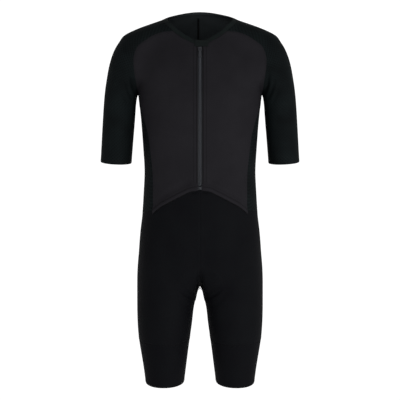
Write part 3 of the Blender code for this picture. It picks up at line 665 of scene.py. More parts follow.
def net(rows: Rows, left: Array, right: Array, top: Array, bottom: Array, power: float = 1.0,
        ring_from: int | None = None, edge_fade: float = 1.6) -> Array:
    """Net of points on the form between four edges.

    Args:
        rows: The frames of the rows.
        left: Edge point of each row where its angles start.
        right: Edge point of each row where they end.
        top: The whole first row.
        bottom: The whole last row.
        power: How fast the lift of the edges fades inwards.
        ring_from: The first row that closes on itself.
        edge_fade: How fast the shape of the first and last row fades.

    Returns:
        Points as rows by columns by three.
    """
    count, cols = len(left), len(top)
    v = np.linspace(0, 1, cols)
    grid = np.zeros((count, cols, 3))

    def ends(i: int) -> tuple[Array, Array]:
        """Angles and lifts of row i as its two ends give them.

        Args:
            i: The row.

        Returns:
            An angle and a lift for each column.
        """
        (a0, w0), (a1, w1) = rows.angles(i, left[i:i + 1]), rows.angles(i, right[i:i + 1])
        a0, a1, w0, w1 = a0[0], a1[0], w0[0], w1[0]
        if ring_from is not None:
            a0 = a0 - 360 if a0 > 90 else a0
            a1 = a1 + 360 if a1 < -90 else a1
            if i >= ring_from:
                a0, a1 = (a0, a0 + 360) if abs(a0) > 90 else (a1 - 360, a1)
        return a0 + (a1 - a0) * v, w0 * (1 - v) ** power + w1 * v ** power

    def extra(i: int, whole: Array) -> tuple[Array, Array]:
        """How a whole given row departs from what its ends give.

        Args:
            i: The row.
            whole: Its points.

        Returns:
            An angle and a lift for each column.
        """
        a, w = rows.angles(i, whole)
        base_a, base_w = ends(i)
        a = base_a + (a - base_a + 180) % 360 - 180
        return a - base_a, w - base_w

    top_a, top_w = extra(0, top)
    low_a, low_w = extra(count - 1, bottom)
    for i in range(count):
        u = i / (count - 1)
        down, up = (1 - u) ** edge_fade, u ** edge_fade
        a, w = ends(i)
        a, w = a + top_a * down + low_a * up, w + top_w * down + low_w * up
        grid[i, 1:-1] = rows.rays(i, a[1:-1], w[1:-1])
        grid[i, 0], grid[i, -1] = left[i], right[i]
    grid[0], grid[-1] = top, bottom
    return grid


class SuitNets:
    """Seam lines and fine nets of every panel on the wearer's left half."""

    MIDDLE = (5.0, -557.0)            # y, z of the place from which the rise is laid
    CROTCH_WAY = -86.0                # degrees from there down to the crotch
    RISE_TOP = -496.0                 # height of the first row of the legs
    PARTING = -664.0                  # height of the row at which they part
    INNER_TOP = -691.0                # height where the inside of the leg is laid from
    HIP = (58.0, 2.0)                 # x, y of the middle of the first row
    LEAST_X, HALF_GAP = 1.2, 0.9      # where rays between the legs stop, and cloth may come to
    ARM_TOP, ARM_RISE = -156.0, 0.18  # height and tilt of the arm's row at the underarm
    NECK_DEPTH = 75.0                 # of the neck's front edge
    NECK_FINER = 12                   # steps between two rows of the neck's table
    LEVEL = 14.0                      # how far a row may be above its lower end
    UNDERARM_FROM = (159.5, 0.0, -116.0)    # from where a ray down finds the underarm
    # points of lines before they are stepped evenly: panels, arm, middle, inside of the leg
    DENSE, ARM_DENSE, MIDDLE_DENSE, INNER_DENSE = 200, 60, 160, 30

    def __init__(self) -> None:
        """Lay out the seams, then the nets between them."""
        self.lay_neck()
        self.lay_seams()
        self.lay_hem()
        under, corner = (STEPS.raglan,), (STEPS.front + 1,)
        self.front = finer(self.front_net(), under)
        self.back = finer(self.back_net(), under)
        self.sleeve = finer(self.sleeve_net(), under)
        short, band = self.leg_nets()
        self.short = finer(short, (1, STEPS.rise + 1), corner)
        below = (STEPS.rise + 2) * STEPS.finer
        self.short[below:, :, 0] = np.maximum(self.short[below:, :, 0], self.HALF_GAP)
        self.band = finer(band, (), corner)
        turns = (STEPS.front, STEPS.front + STEPS.sleeve)
        self.binding = finer(np.stack([self.neck, self.neck_seam]), (), turns)
        self.hem = finer(np.stack([self.hem_seam[1:], self.hem_edge[1:]]))

    def lay_neck(self) -> None:
        """Edge of the neck opening and the seam under its binding, front to back."""
        slot = np.degrees(np.arctan2(-self.NECK_DEPTH, SIZES.zip_slot))
        front_side, back_side = SIZES.neck_side_front, SIZES.neck_side_back
        angles = np.concatenate([
            np.linspace(slot, front_side, STEPS.front + 1),
            np.linspace(front_side, back_side, STEPS.sleeve + 1)[1:],
            np.linspace(back_side, 90, STEPS.back + 1)[1:]])
        table = np.array(NECK_EDGE, float)
        height = smooth_line(np.column_stack([table, np.zeros(len(table))]), self.NECK_FINER)
        z = np.interp(angles, height[:, 0], height[:, 1])
        a = np.radians(angles)
        edge = FORM.cast(xyz(0, 0, z), xyz(np.cos(a), np.sin(a), 0))
        edge[-1, 0] = 0.0
        low = beside(edge, SIZES.binding, closed_x=True)
        low[-1, 0] = 0.0
        low[0] = self.at_zip(low[0])
        self.neck, self.neck_seam = edge, low
        split = STEPS.front + STEPS.sleeve
        self.neck_front, self.neck_sleeve = low[:STEPS.front + 1], low[STEPS.front:split + 1]
        self.neck_back = low[split:]

    @staticmethod
    def at_zip(point: Array) -> Array:
        """A point moved to the edge of the zip's slot."""
        return FORM.settle(xyz(SIZES.zip_slot, *point[1:]))[0]

    def lay_seams(self) -> None:
        """Underarm point, raglan seams and side seam."""
        under = FORM.cast(xyz(*self.UNDERARM_FROM), xyz(0, 0, -1))[0]
        self.underarm = under
        self.raglan_front = seam([self.neck_front[-1], *RAGLAN_FRONT, under], STEPS.raglan)
        self.raglan_back = seam([self.neck_back[0], *RAGLAN_BACK, under], STEPS.raglan)
        self.side = seam([under, *SIDE_SEAM], STEPS.side)

    def lay_hem(self) -> None:
        """Front hem seam, hem edge, and the seam round the back of the waist."""
        dense = FORM.settle(smooth_line(FRONT_HEM))
        outer = dense[dense[:, 0] >= SIZES.zip_slot]
        hem = FORM.settle(np.vstack([dense[:1], even(outer, STEPS.front)]))
        hem[0, 0] = 0.0
        hem[1], hem[-1] = self.at_zip(hem[1]), self.side[-1]
        edge = FORM.settle(hem - [0, 0, SIZES.hem])
        edge[0, 0] = 0.0
        self.hem_seam, self.hem_edge = hem, edge
        waist = seam([self.side[-1], *WAIST_SEAM[1:]], STEPS.back)
        waist[0], waist[-1, 0] = self.side[-1], 0.0
        self.waist = waist

    @staticmethod
    def torso_rows(left: Array, right: Array) -> Rows:
        """Level rows between two edges of a front or back panel.

        Args:
            left: Edge point of each row where its angles start.
            right: Edge point of each row where they end.

        Returns:
            The frames of the rows.
        """
        z = (left[:, 2] + right[:, 2]) / 2
        z = np.minimum(z, np.minimum(left[:, 2], right[:, 2]) + SuitNets.LEVEL)
        return Rows(xyz(0, 0, z), xyz(1, 0, 0))

    def front_net(self) -> Array:
        """Front panel, from the zip out to the raglan and side seams.

        Returns:
            Its net, from the neck down.
        """
        right = np.vstack([self.raglan_front, self.side[1:]])
        top, bottom = self.neck_front, self.hem_seam[1:]
        heights = np.linspace(top[0, 2], bottom[0, 2], self.DENSE)
        left = even(FORM.on_front(SIZES.zip_slot, heights), len(right) - 1)
        left = FORM.on_front(SIZES.zip_slot, left[:, 2])
        left[0], left[-1] = top[0], bottom[0]
        return net(self.torso_rows(left, right), left, right, top, bottom)

    def back_net(self) -> Array:
        """Back panel, from the raglan and side seams to the centre back.

        Returns:
            Its net, from the neck down.
        """
        left = np.vstack([self.raglan_back, self.side[1:]])
        top, bottom = self.neck_back, self.waist
        heights = np.linspace(top[-1, 2], bottom[-1, 2], self.DENSE)
        right = even(FORM.cast(xyz(0, 0, heights), xyz(0, 1, 0)), len(left) - 1)
        right = FORM.settle_flat(right)
        right[0], right[-1] = top[-1], bottom[-1]
        return net(self.torso_rows(left, right), left, right, top, bottom)

    def sleeve_net(self) -> Array:
        """Sleeve, from the neck over the shoulder and round the arm to the cuff.

        Returns:
            Its net, from the neck to the cuff, with both edges on the underarm seam.
        """
        arm, tilt = self.underarm, SIZES.cuff_tilt
        low = FORM.cast(xyz(SIZES.cuff_x, 0, SIZES.cuff), xyz(-1, 0, -tilt))[0]
        under = FORM.settle(even(FORM.settle(np.linspace(arm, low, self.ARM_DENSE)), STEPS.arm))
        under[0], under[-1] = arm, low
        left, right = (np.vstack([line, under[1:]]) for line in (self.raglan_front,
                                                                 self.raglan_back))
        axis = np.array(SLEEVE_AXIS, float)
        share = np.linspace(0, 1, STEPS.raglan + 1)
        x, y, z, out_x, out_z = (np.interp(share, axis[:, 0], axis[:, k]) for k in range(1, 6))
        low_z = np.linspace(self.ARM_TOP, SIZES.cuff, STEPS.arm + 1)[1:]
        out, _, mid, _, _ = read(FORM.arm, low_z)
        rise = np.linspace(self.ARM_RISE, tilt, STEPS.arm + 1)[1:]
        rows = Rows(np.vstack([xyz(x, y, z), xyz(out, mid, low_z)]),
                    np.vstack([xyz(out_x, 0, out_z), xyz(1, 0, rise)]))
        turn = np.radians(np.linspace(-180, 180, STEPS.sleeve + 1))
        cuff = FORM.limb_ring((SIZES.cuff_x, 0, SIZES.cuff), turn, tilt)
        cuff[0] = cuff[-1] = low
        return net(rows, left, right, self.neck_sleeve, cuff, ring_from=STEPS.raglan)

    def middle_line(self, start: float, stop: float) -> Array:
        """Even steps along the middle plane's curve from one direction to another.

        Args:
            start: Degrees about MIDDLE, from the back up.
            stop: The same, where the curve ends.

        Returns:
            The points of the curve.
        """
        a = np.radians(np.linspace(start, stop, self.MIDDLE_DENSE))
        dense = FORM.cast(xyz(0, *self.MIDDLE), xyz(0, np.cos(a), np.sin(a)))
        return FORM.settle_flat(even(dense, STEPS.rise))

    def leg_nets(self) -> tuple[Array, Array]:
        """Both parts of one leg: the shorts and the gripper band below them.

        Returns:
            The nets of the shorts and of the band, both edges of each on the inside of the leg.
        """
        y, z = self.MIDDLE
        ends = self.hem_edge[0], self.waist[-1] - [0, 0, SIZES.hem]
        start, stop = (np.degrees(np.arctan2(end[2] - z, end[1] - y)) for end in ends)
        front = self.middle_line(start % 360 - 360, self.CROTCH_WAY)
        back = self.middle_line(stop, self.CROTCH_WAY)
        back[-1] = crotch = front[-1]
        seam_z = np.linspace(self.INNER_TOP, SIZES.leg_seam, self.INNER_DENSE)
        out, _, mid, _, _ = read(FORM.leg, seam_z)
        inner = FORM.cast(xyz(out, mid, seam_z), xyz(-1, 0, 0))
        thigh = even(smooth_line(np.vstack([crotch[None], inner]), 4), STEPS.thigh)
        thigh[1:] = FORM.settle(thigh[1:])
        thigh[-1] = inner[-1]
        left, right = np.vstack([front, thigh[1:]]), np.vstack([back, thigh[1:]])

        top_waist = FORM.settle(self.waist - [0, 0, SIZES.hem])
        top_waist[-1] = right[0]
        hem = self.hem_edge.copy()
        hem[0] = left[0]
        corner = FORM.settle((hem[-1:] + top_waist[:1]) / 2)
        top = np.vstack([hem[:-1], corner, top_waist[1:]])

        z = np.concatenate([np.linspace(self.RISE_TOP, self.PARTING, STEPS.rise + 1),
                            np.linspace(self.PARTING, SIZES.leg_seam, STEPS.thigh + 1)[1:]])
        out, _, mid, _, _ = read(FORM.leg, z)
        for column, first in zip((out, mid), self.HIP):
            column[:STEPS.rise + 1] = np.linspace(first, column[STEPS.rise], STEPS.rise + 1)
        turn = np.radians(np.linspace(-180, 180, len(top)))
        ring = FORM.limb_ring((out[-1], mid[-1], SIZES.leg_seam), turn, 0)
        ring[0] = ring[-1] = inner[-1]
        short = net(Rows(xyz(out, mid, z), xyz(1, 0, 0), self.LEAST_X), left, right, top, ring,
                    power=2.5, ring_from=STEPS.rise)
        short = np.vstack([np.vstack([self.hem_seam, self.waist[1:]])[None], short])

        band = [ring]
        for share in np.linspace(0, 1, STEPS.band + 1)[1:]:
            height = SIZES.leg_seam + share * (SIZES.leg_end - SIZES.leg_seam)
            out, _, mid, _, _ = read(FORM.leg, np.array([height]))
            band.append(FORM.limb_ring((out, mid, height), turn, share * SIZES.leg_end_tilt))
        return short, np.array(band)


# ---------------------------------------------------------------- meshes
def flat_map(grid: Array, column: int | None = None) -> Array:
    """Place of each net point on the cloth, in metres along its columns and rows.

    Args:
        grid: Net of points in millimetres.
        column: The column that lies on u = 0; the middle one if not given.

    Returns:
        u, v for each point of the net.
    """
    column = grid.shape[1] // 2 if column is None else column
    u, v = (np.cumsum(np.linalg.norm(np.diff(grid, axis=k, prepend=grid.take([0], k)), axis=2), k)
            for k in (1, 0))
    v = 0.5 * v + 0.5 * v[:, column:column + 1]
    return np.stack([u - u[:, column:column + 1], -v], axis=2) * MM


@dataclass
class Wall:
    """A closed wall of cloth as arrays: points in millimetres, faces, and the map's corners."""

    points: Array
    faces: list
    uv: Array
    inside: range

    def line(self, obj: bpy.types.Object, lining: bpy.types.Material) -> None:
        """Give the inner face of the wall's object its own finish.

        Args:
            obj: The object made from the wall.
            lining: The finish.
        """
        obj.data.materials.append(lining)
        for k in self.inside:
            obj.data.polygons[k].material_index = 1

    def mirrored(self) -> "Wall":
        """The same wall on the other side of the body.

        Returns:
            A new wall, its faces still outwards.
        """
        ends = np.cumsum([len(f) for f in self.faces])
        uv = np.vstack([part[::-1] for part in np.split(self.uv, ends[:-1])])
        return Wall(self.points * Side.RIGHT.flip, [f[::-1] for f in self.faces], uv, self.inside)


class ClothNet:
    """A sheet of triangles on the form, from which closed walls are made."""

    SHARP = 0.86     # cosine between the sheet's way out and the form's at a sharp corner
    FURTHER = 2.2    # how much further the rim is pulled back at one
    NARROW = 0.3     # least square of the mean way in, so that thin tips aren't pulled far
    DECIMALS = 4     # of a millimetre, to which points are the same
    CHUNK = 4000     # points whose distance to the rim is taken at a time

    def __init__(self) -> None:
        """Start with no cells."""
        self.corners: list[Array] = []
        self.maps: list[Array] = []

    def add(self, grid: Array, column: int | None = None,
            keep: Array | None = None) -> "ClothNet":
        """Add a net, each four-sided cell as two triangles on its shorter diagonal.

        Args:
            grid: Net of points.
            column: The column that lies on u = 0 of its map; the middle one if not given.
            keep: Which cells to take; all if not given.

        Returns:
            The net itself.
        """
        quads = [np.stack([g[:-1, :-1], g[:-1, 1:], g[1:, 1:], g[1:, :-1]], axis=2)
                 for g in (grid, flat_map(grid, column))]
        if keep is not None:
            quads = [q[keep][None] for q in quads]
        q, m = (x.reshape(-1, 4, x.shape[-1]) for x in quads)
        short = (np.linalg.norm(q[:, 0] - q[:, 2], axis=1)
                 <= np.linalg.norm(q[:, 1] - q[:, 3], axis=1))
        for array, store in ((q, self.corners), (m, self.maps)):
            first = np.where(short[:, None, None], array[:, [0, 1, 2]], array[:, [0, 1, 3]])
            second = np.where(short[:, None, None], array[:, [0, 2, 3]], array[:, [1, 2, 3]])
            store += [first, second]
        return self

    def weld(self) -> tuple[Array, Array, Array]:
        """Merge shared points and drop slivers.

        Returns:
            Points, triangles as point numbers, and the map at their corners.
        """
        corners, maps = np.concatenate(self.corners), np.concatenate(self.maps)
        flat = corners.reshape(-1, 3)
        _, first, inverse = np.unique(np.round(flat, self.DECIMALS), axis=0,
                                      return_index=True, return_inverse=True)
        tri = inverse.reshape(-1, 3)
        whole = (tri[:, 0] != tri[:, 1]) & (tri[:, 1] != tri[:, 2]) & (tri[:, 0] != tri[:, 2])
        return flat[first], tri[whole], maps[whole]

    def wall(self, outer: Offset, inner: Offset, trim: float = 0.0) -> Wall:
        """Closed wall between two offsets from the form.

        Args:
            outer: Offset of the outside, from points and their distance to the rim.
            inner: Offset of the inside, likewise.
            trim: How far the edges are pulled back.

        Returns:
            The wall.
        """
        p, tri, maps = self.weld()
        out, sink = FORM.normals(p), FORM.troughs(p, CREASES)
        face = np.cross(p[tri[:, 1]] - p[tri[:, 0]], p[tri[:, 2]] - p[tri[:, 0]])
        if np.sum(face * out[tri[:, 0]]) < 0:
            tri, face, maps = tri[:, ::-1], -face, maps[:, ::-1]
        own = np.zeros_like(p)
        for k in range(3):
            np.add.at(own, tri[:, k], face)
        own = unit(own, 1e-12)
        sharp = np.sum(own * out, axis=1) < self.SHARP
        out[sharp] = own[sharp]
        rim, rim_uv = self.rim_of(tri, maps)
        p = self.trimmed(p, out, rim, sharp, trim)
        far = self.far_from(p, np.unique(rim))
        k = len(p)
        quads = np.stack([rim[:, 1], rim[:, 0], rim[:, 0] + k, rim[:, 1] + k], axis=1)
        faces = ([tuple(t) for t in tri.tolist()]
                 + [tuple(t) for t in (tri[:, [0, 2, 1]] + k).tolist()]
                 + [tuple(t) for t in quads.tolist()])
        uv = np.vstack([maps.reshape(-1, 2), maps[:, [0, 2, 1]].reshape(-1, 2),
                        rim_uv[:, [1, 0, 0, 1]].reshape(-1, 2)])
        layers = [p + out * (side(p, far) - sink)[:, None] for side in (outer, inner)]
        return Wall(np.vstack(layers), faces, uv, range(len(tri), 2 * len(tri)))

    @staticmethod
    def rim_of(tri: Array, maps: Array) -> tuple[Array, Array]:
        """Find the rim of a sheet.

        Args:
            tri: Triangles as point numbers.
            maps: The map at their corners.

        Returns:
            Edges as point numbers, and the map at their ends.
        """
        edge = np.concatenate([tri[:, [0, 1]], tri[:, [1, 2]], tri[:, [2, 0]]])
        uv = np.concatenate([maps[:, [0, 1]], maps[:, [1, 2]], maps[:, [2, 0]]])
        top = int(tri.max()) + 1
        code, back = edge[:, 0] * top + edge[:, 1], edge[:, 1] * top + edge[:, 0]
        lone = ~np.isin(code, back)
        return edge[lone], uv[lone]

    @staticmethod
    def trimmed(p: Array, out: Array, rim: Array, sharp: Array, trim: float) -> Array:
        """Pull the rim back into the sheet.

        Args:
            p: Points of the sheet.
            out: Outward way at each.
            rim: The rim's edges.
            sharp: Which points are on a sharp corner.
            trim: How far the rim is pulled back.

        Returns:
            The points, with those of the rim moved.
        """
        a, b = rim[:, 0], rim[:, 1]
        along = unit(p[b] - p[a])
        shift, weight = np.zeros_like(p), np.zeros(len(p))
        for k in (a, b):
            np.add.at(shift, k, unit(np.cross(out[k], along)))
            np.add.at(weight, k, 1)
        on = weight > 0
        mean = shift[on] / weight[on][:, None]
        size = np.sum(mean * mean, axis=1)[:, None]
        p = p.copy()
        more = np.where(sharp, ClothNet.FURTHER, 1.0)[on][:, None]
        p[on] += trim * more * mean / np.maximum(size, ClothNet.NARROW)
        return p

    @staticmethod
    def far_from(p: Array, rim: Array) -> Array:
        """Distance of each point from the nearest point of the rim.

        Args:
            p: Points of the sheet.
            rim: The numbers of those on the rim.

        Returns:
            A distance for each point.
        """
        far, edge = np.zeros(len(p)), p[rim]
        for at in range(0, len(p), ClothNet.CHUNK):
            part = slice(at, at + ClothNet.CHUNK)
            far[part] = distance(p[part], edge)
        return far


def link(name: str, data: Any) -> bpy.types.Object:
    """A new object of the scene that holds the data.

    Args:
        name: Its name.
        data: A mesh, camera or light.

    Returns:
        The object.
    """
    obj = bpy.data.objects.new(name, data)
    bpy.context.scene.collection.objects.link(obj)
    return obj


def evaluated(obj: bpy.types.Object) -> bpy.types.Mesh:
    """The mesh that an object's modifiers make.

    Args:
        obj: The object.

    Returns:
        A plain mesh, held by no object yet.
    """
    bpy.context.view_layer.update()
    graph = bpy.context.evaluated_depsgraph_get()
    return bpy.data.meshes.new_from_object(obj.evaluated_get(graph))


def mesh_object(name: str, points: Array, faces: list, finish: bpy.types.Material,
                uv: Array | None = None, smooth_to: float | None = 40.0) -> bpy.types.Object:
    """Make one object at the origin from points in millimetres.

    Args:
        name: The piece's name.
        points: Points in millimetres.
        faces: Faces as tuples of point numbers.
        finish: The piece's material.
        uv: Map of every face corner, in order, in metres on the cloth.
        smooth_to: Edges sharper than this many degrees stay sharp; None is all flat.

    Returns:
        The object, linked to the scene.
    """
    mesh = bpy.data.meshes.new(name)
    mesh.from_pydata((np.asarray(points) * MM).tolist(), [], faces)
    if uv is not None:
        layer = mesh.uv_layers.new(name="cloth")
        layer.data.foreach_set("uv", np.asarray(uv, np.float32).ravel())
    mesh.polygons.foreach_set("use_smooth", [smooth_to is not None] * len(mesh.polygons))
    mesh.update()
    if smooth_to is not None:
        mesh.set_sharp_from_angle(angle=math.radians(smooth_to))
    mesh.materials.append(finish)
    return link(name, mesh)


# ---------------------------------------------------------------- finishes
def linear(hex_code: str) -> tuple[float, float, float, float]:
    """Linear colour of an sRGB hex value such as #23232a.

    Args:
        hex_code: The value.

    Returns:
        Red, green, blue and 1, as sockets take them.
    """
    parts = [int(hex_code[i:i + 2], 16) / 255 for i in (1, 3, 5)]
    value = [c / 12.92 if c <= 0.04045 else ((c + 0.055) / 1.055) ** 2.4 for c in parts]
    return value[0], value[1], value[2], 1.0


def add_node(tree: bpy.types.NodeTree, kind: str, inputs: dict[Any, Any] | None = None,
             **settings: Any) -> bpy.types.Node:
    """Add a node with its settings, values and links.

    Args:
        tree: The tree the node goes into.
        kind: Blender's name of the node type.
        inputs: Values, output sockets or nodes, by the input's name or number.
        **settings: Properties of the node.

    Returns:
        The node.
    """
    node = tree.nodes.new(kind)
    for key, value in settings.items():
        setattr(node, key, value)
    feed(node, inputs or {})
    return node


def feed(node: bpy.types.Node, inputs: dict[Any, Any]) -> None:
    """Set a node's inputs, or link them; a node stands for its first output.

    Args:
        node: The node.
        inputs: Values, output sockets or nodes, by the input's name or number.
    """
    for key, value in inputs.items():
        if isinstance(value, bpy.types.Node):
            value = value.outputs[0]
        if isinstance(value, bpy.types.NodeSocket):
            node.id_data.links.new(value, node.inputs[key])
        else:
            node.inputs[key].default_value = value


def new_material(name: str, plain: str) -> tuple[bpy.types.Material, partial, bpy.types.Node]:
    """Start a material.

    Args:
        name: Its name.
        plain: Its colour in views without shading.

    Returns:
        The material, its tree's add_node, and its shader.
    """
    mat = bpy.data.materials.new(name)
    mat.use_nodes = True
    mat.diffuse_color = linear(plain)
    return mat, partial(add_node, mat.node_tree), mat.node_tree.nodes["Principled BSDF"]


class Knit(Enum):
    """What the face of a cloth looks like."""

    SMOOTH = "fine warp knit, smooth to the eye"
    LATTICE = "aero knit with small open cells between ribs"
    RIBBED = "fine ribs along the cloth"


@dataclass(frozen=True)
class ClothFinish:
    """Dyed stretch knit of polyamide or polyester with elastane."""

    DETAIL, ROUGH = 3.0, 0.55    # octaves of the mottle, and each as a share of the one before
    GAP_SHADE_RANGE = (0.08, 0.62)         # knit height times mottle where it is all dark and all light; the dark gaps are painted shade

    name: str
    dark: str
    light: str
    knit: Knit = Knit.SMOOTH
    roughness: float = 0.7
    specular: float = 0.03
    wale_mm: float = 1.6
    depth_mm: float = 0.12
    mottle_mm: float = 60.0

    def build(self) -> bpy.types.Material:
        """Make the material.

        Returns:
            A material whose pattern follows the piece's own map.
        """
        mat, node, shader = new_material(self.name, self.light)
        height = self.height(node)
        mottle = node("ShaderNodeTexNoise", {
            "Vector": node("ShaderNodeTexCoord").outputs["Object"],
            "Scale": 1 / (self.mottle_mm * MM), "Detail": self.DETAIL,
            "Roughness": self.ROUGH})
        both = node("ShaderNodeMath", {0: height, 1: mottle}, operation="MULTIPLY")
        gap_shade_and_mottle = node("ShaderNodeMapRange", {
            "Value": both, "From Min": self.GAP_SHADE_RANGE[0], "From Max": self.GAP_SHADE_RANGE[1]})
        # gaps of the knit darker than its ridges: painted shade, times a random mottle of tone
        colour = node("ShaderNodeMix", {
            "Factor": gap_shade_and_mottle, 6: linear(self.dark), 7: linear(self.light)}, data_type="RGBA")
        bump = node("ShaderNodeBump", {
            "Strength": 1.0, "Distance": self.depth_mm * MM, "Height": height})
        feed(shader, {"Base Color": colour.outputs[2], "Normal": bump,
                      "Roughness": self.roughness, "Specular IOR Level": self.specular})
        return mat

    def height(self, node: partial) -> bpy.types.NodeSocket:
        """Relief of the knit, from 0 in its gaps to 1 on its ridges.

        Args:
            node: The tree's add_node.

        Returns:
            The height's output.
        """
        uv = node("ShaderNodeUVMap", uv_map="cloth")

        def wave(turn: float) -> bpy.types.NodeSocket:
            """Ridges of height 0 to 1.

            Args:
                turn: Degrees by which they are turned from down the cloth.

            Returns:
                The height's output.
            """
            turned = node("ShaderNodeMapping", {
                "Vector": uv, "Rotation": (0, 0, math.radians(turn))})
            # a wave texture's bands are pi / 10 apart at a scale of one
            ridges = node("ShaderNodeTexWave", {
                "Vector": turned, "Scale": math.pi / 10 / (self.wale_mm * MM)},
                wave_type="BANDS", bands_direction="X", wave_profile="SIN")
            return ridges.outputs["Fac"]

        if self.knit is Knit.RIBBED:
            return wave(0)
        one, two = map(wave, (45, -45) if self.knit is Knit.LATTICE else (0, 90))
        return node("ShaderNodeMath", {0: one, 1: two}, operation="MAXIMUM").outputs[0]


@dataclass(frozen=True)
class HardFinish:
    """Moulded or cast small part."""

    GLOSS = (0.8, 1.2)      # least and most of its roughness over the grain, as shares
    RELIEF = 0.6            # share of the grain's depth that shows

    name: str
    colour: str
    roughness: float
    metallic: float = 0.0
    specular: float = 0.5
    grain_mm: float = 0.8
    depth_mm: float = 0.02

    def build(self) -> bpy.types.Material:
        """Make the material, with a fine grain in its gloss and relief.

        Returns:
            The material.
        """
        mat, node, shader = new_material(self.name, self.colour)
        grain = node("ShaderNodeTexNoise", {
            "Vector": node("ShaderNodeTexCoord").outputs["Object"],
            "Scale": 1 / (self.grain_mm * MM), "Detail": 2.0})
        gloss = node("ShaderNodeMapRange", {
            "Value": grain, "To Min": self.roughness * self.GLOSS[0],
            "To Max": self.roughness * self.GLOSS[1]})
        bump = node("ShaderNodeBump", {
            "Strength": self.RELIEF, "Distance": self.depth_mm * MM, "Height": grain})
        feed(shader, {"Base Color": linear(self.colour), "Metallic": self.metallic,
                      "Roughness": gloss, "Specular IOR Level": self.specular,
                      "Normal": bump})
        return mat


@dataclass(frozen=True)
class SuitFinishes:
    """Every finish of the suit."""

    # charcoal warp knit of polyamide and elastane, matt and even
    front: ClothFinish = ClothFinish("front_charcoal_warp_knit", "#171619", "#1e1d20")
    # black-green aero knit, raised ribs round small cells that break up the light
    sleeve: ClothFinish = ClothFinish("sleeve_aero_lattice_knit", "#060708", "#111617",
                                      Knit.LATTICE, 0.75, 0.03, wale_mm=6.0, depth_mm=0.5)
    # the same knit, as the back is cut from it
    back: ClothFinish = ClothFinish("back_aero_lattice_knit", "#060708", "#111617",
                                    Knit.LATTICE, 0.75, 0.03, wale_mm=6.0, depth_mm=0.5)
    # inner face of those knits: the paler elastane and loops turned to the skin,
    # made paler still as painted light that falls in through the neck opening
    inner: ClothFinish = ClothFinish("knit_inner_face_painted_light", "#2b2f31", "#363a3c")
    # blue-black heavy warp knit, compressive and quite smooth
    shorts: ClothFinish = ClothFinish("shorts_black_warp_knit", "#08080b", "#0c0d0f")
    # wide woven-edge elastic of the leg ends
    band: ClothFinish = ClothFinish("leg_gripper_elastic_knit", "#08080b", "#0b0c0e",
                                    Knit.RIBBED, 0.7, wale_mm=2.6)
    # plain knit near the sleeves' colour, folded over the neck edge
    binding: ClothFinish = ClothFinish("neck_binding_folded_knit", "#0f1212", "#151a1a")
    # the same knit, folded over the top of the zip
    garage: ClothFinish = ClothFinish("zip_garage_folded_knit", "#0f1212", "#151919")
    # herringbone tape of textured polyester, paler than the knits
    tape: ClothFinish = ClothFinish("zip_tape_woven_polyester", "#1d1f22", "#2a2c30",
                                    Knit.RIBBED, 0.45, 0.12, wale_mm=1.3)
    # open-cell foam under a brushed polyamide face
    pad: ClothFinish = ClothFinish("seat_pad_brushed_foam_laminate", "#111214", "#18191c",
                                   Knit.SMOOTH, 0.85, 0.05, wale_mm=3.0)
    # textured polyester thread, blacker than the cloth it sews; its widest rows stand as painted
    # shadow
    thread: ClothFinish = ClothFinish("sewing_thread_black_polyester", "#050506", "#08080a",
                                      Knit.RIBBED, 0.5, 0.1)
    # polyester monofilament coil: satin plastic, its pale grey partly a painted sheen for the
    # bright stripe along the zip
    teeth: HardFinish = HardFinish("zip_coil_monofilament_painted_sheen", "#3e4046", 0.35)
    # zinc die casting with a dark satin enamel
    metal: HardFinish = HardFinish("zip_slider_enamelled_zinc", "#3a3b3f", 0.25, 0.9)


class Wardrobe:
    """The built materials, by the names of their finishes."""

    def __init__(self) -> None:
        """Build every finish once."""
        for finish in fields(SuitFinishes):
            setattr(self, finish.name, finish.default.build())


# ---------------------------------------------------------------- shared work on pieces
@dataclass(frozen=True)
class Relief:
    """A smooth ridge or groove in the face of a cloth."""

    size: float
    middle: float
    wide: float

    def at(self, x: Array) -> Array:
        """Its size at places across it."""
        return self.size * np.exp(-((x - self.middle) / self.wide) ** 2)


SEAM_RIDGE = Relief(0.25, 4.0, 2.5)      # full cloth beside a seam
SEAM_GROOVE = Relief(0.45, 0.0, 1.5)     # pressed down in it


def pressed_seam(_: Array, far: Array) -> Array:
    """Offset of a panel's outside: pressed down at its seams and full beside them."""
    return SEAM_RIDGE.at(far) - SEAM_GROOVE.at(far)


def inside_of(outside: Offset, follow: float = 0.6) -> Offset:
    """Offset of a panel's inside, which follows the relief of its outside in part."""
    return lambda p, far: follow * outside(p, far) - SIZES.wall


def dress(obj: bpy.types.Object, slot: str, *nodes: str, body: str = "suit") -> bpy.types.Object:
    """Put a piece on its body, in place of its solids.

    Args:
        obj: The piece.
        slot: The record's material slot; not used.
        *nodes: The solids it stands for.
        body: The body it moves with.

    Returns:
        The piece.
    """
    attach(obj, body)
    if nodes:
        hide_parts(*nodes)
    LOG.info("%s: %d faces", obj.name, len(obj.data.polygons))
    return obj


@dataclass(frozen=True)
class Cut:
    """The flat piece a panel is cut as, in millimetres and square millimetres."""

    wide: float
    long: float
    area: float | None = None

    def declare(self, obj: bpy.types.Object, *rests_on: str) -> None:
        """Args:
            obj: The piece; not used.
            *rests_on: What it is sewn to or lies on; not used.
        """


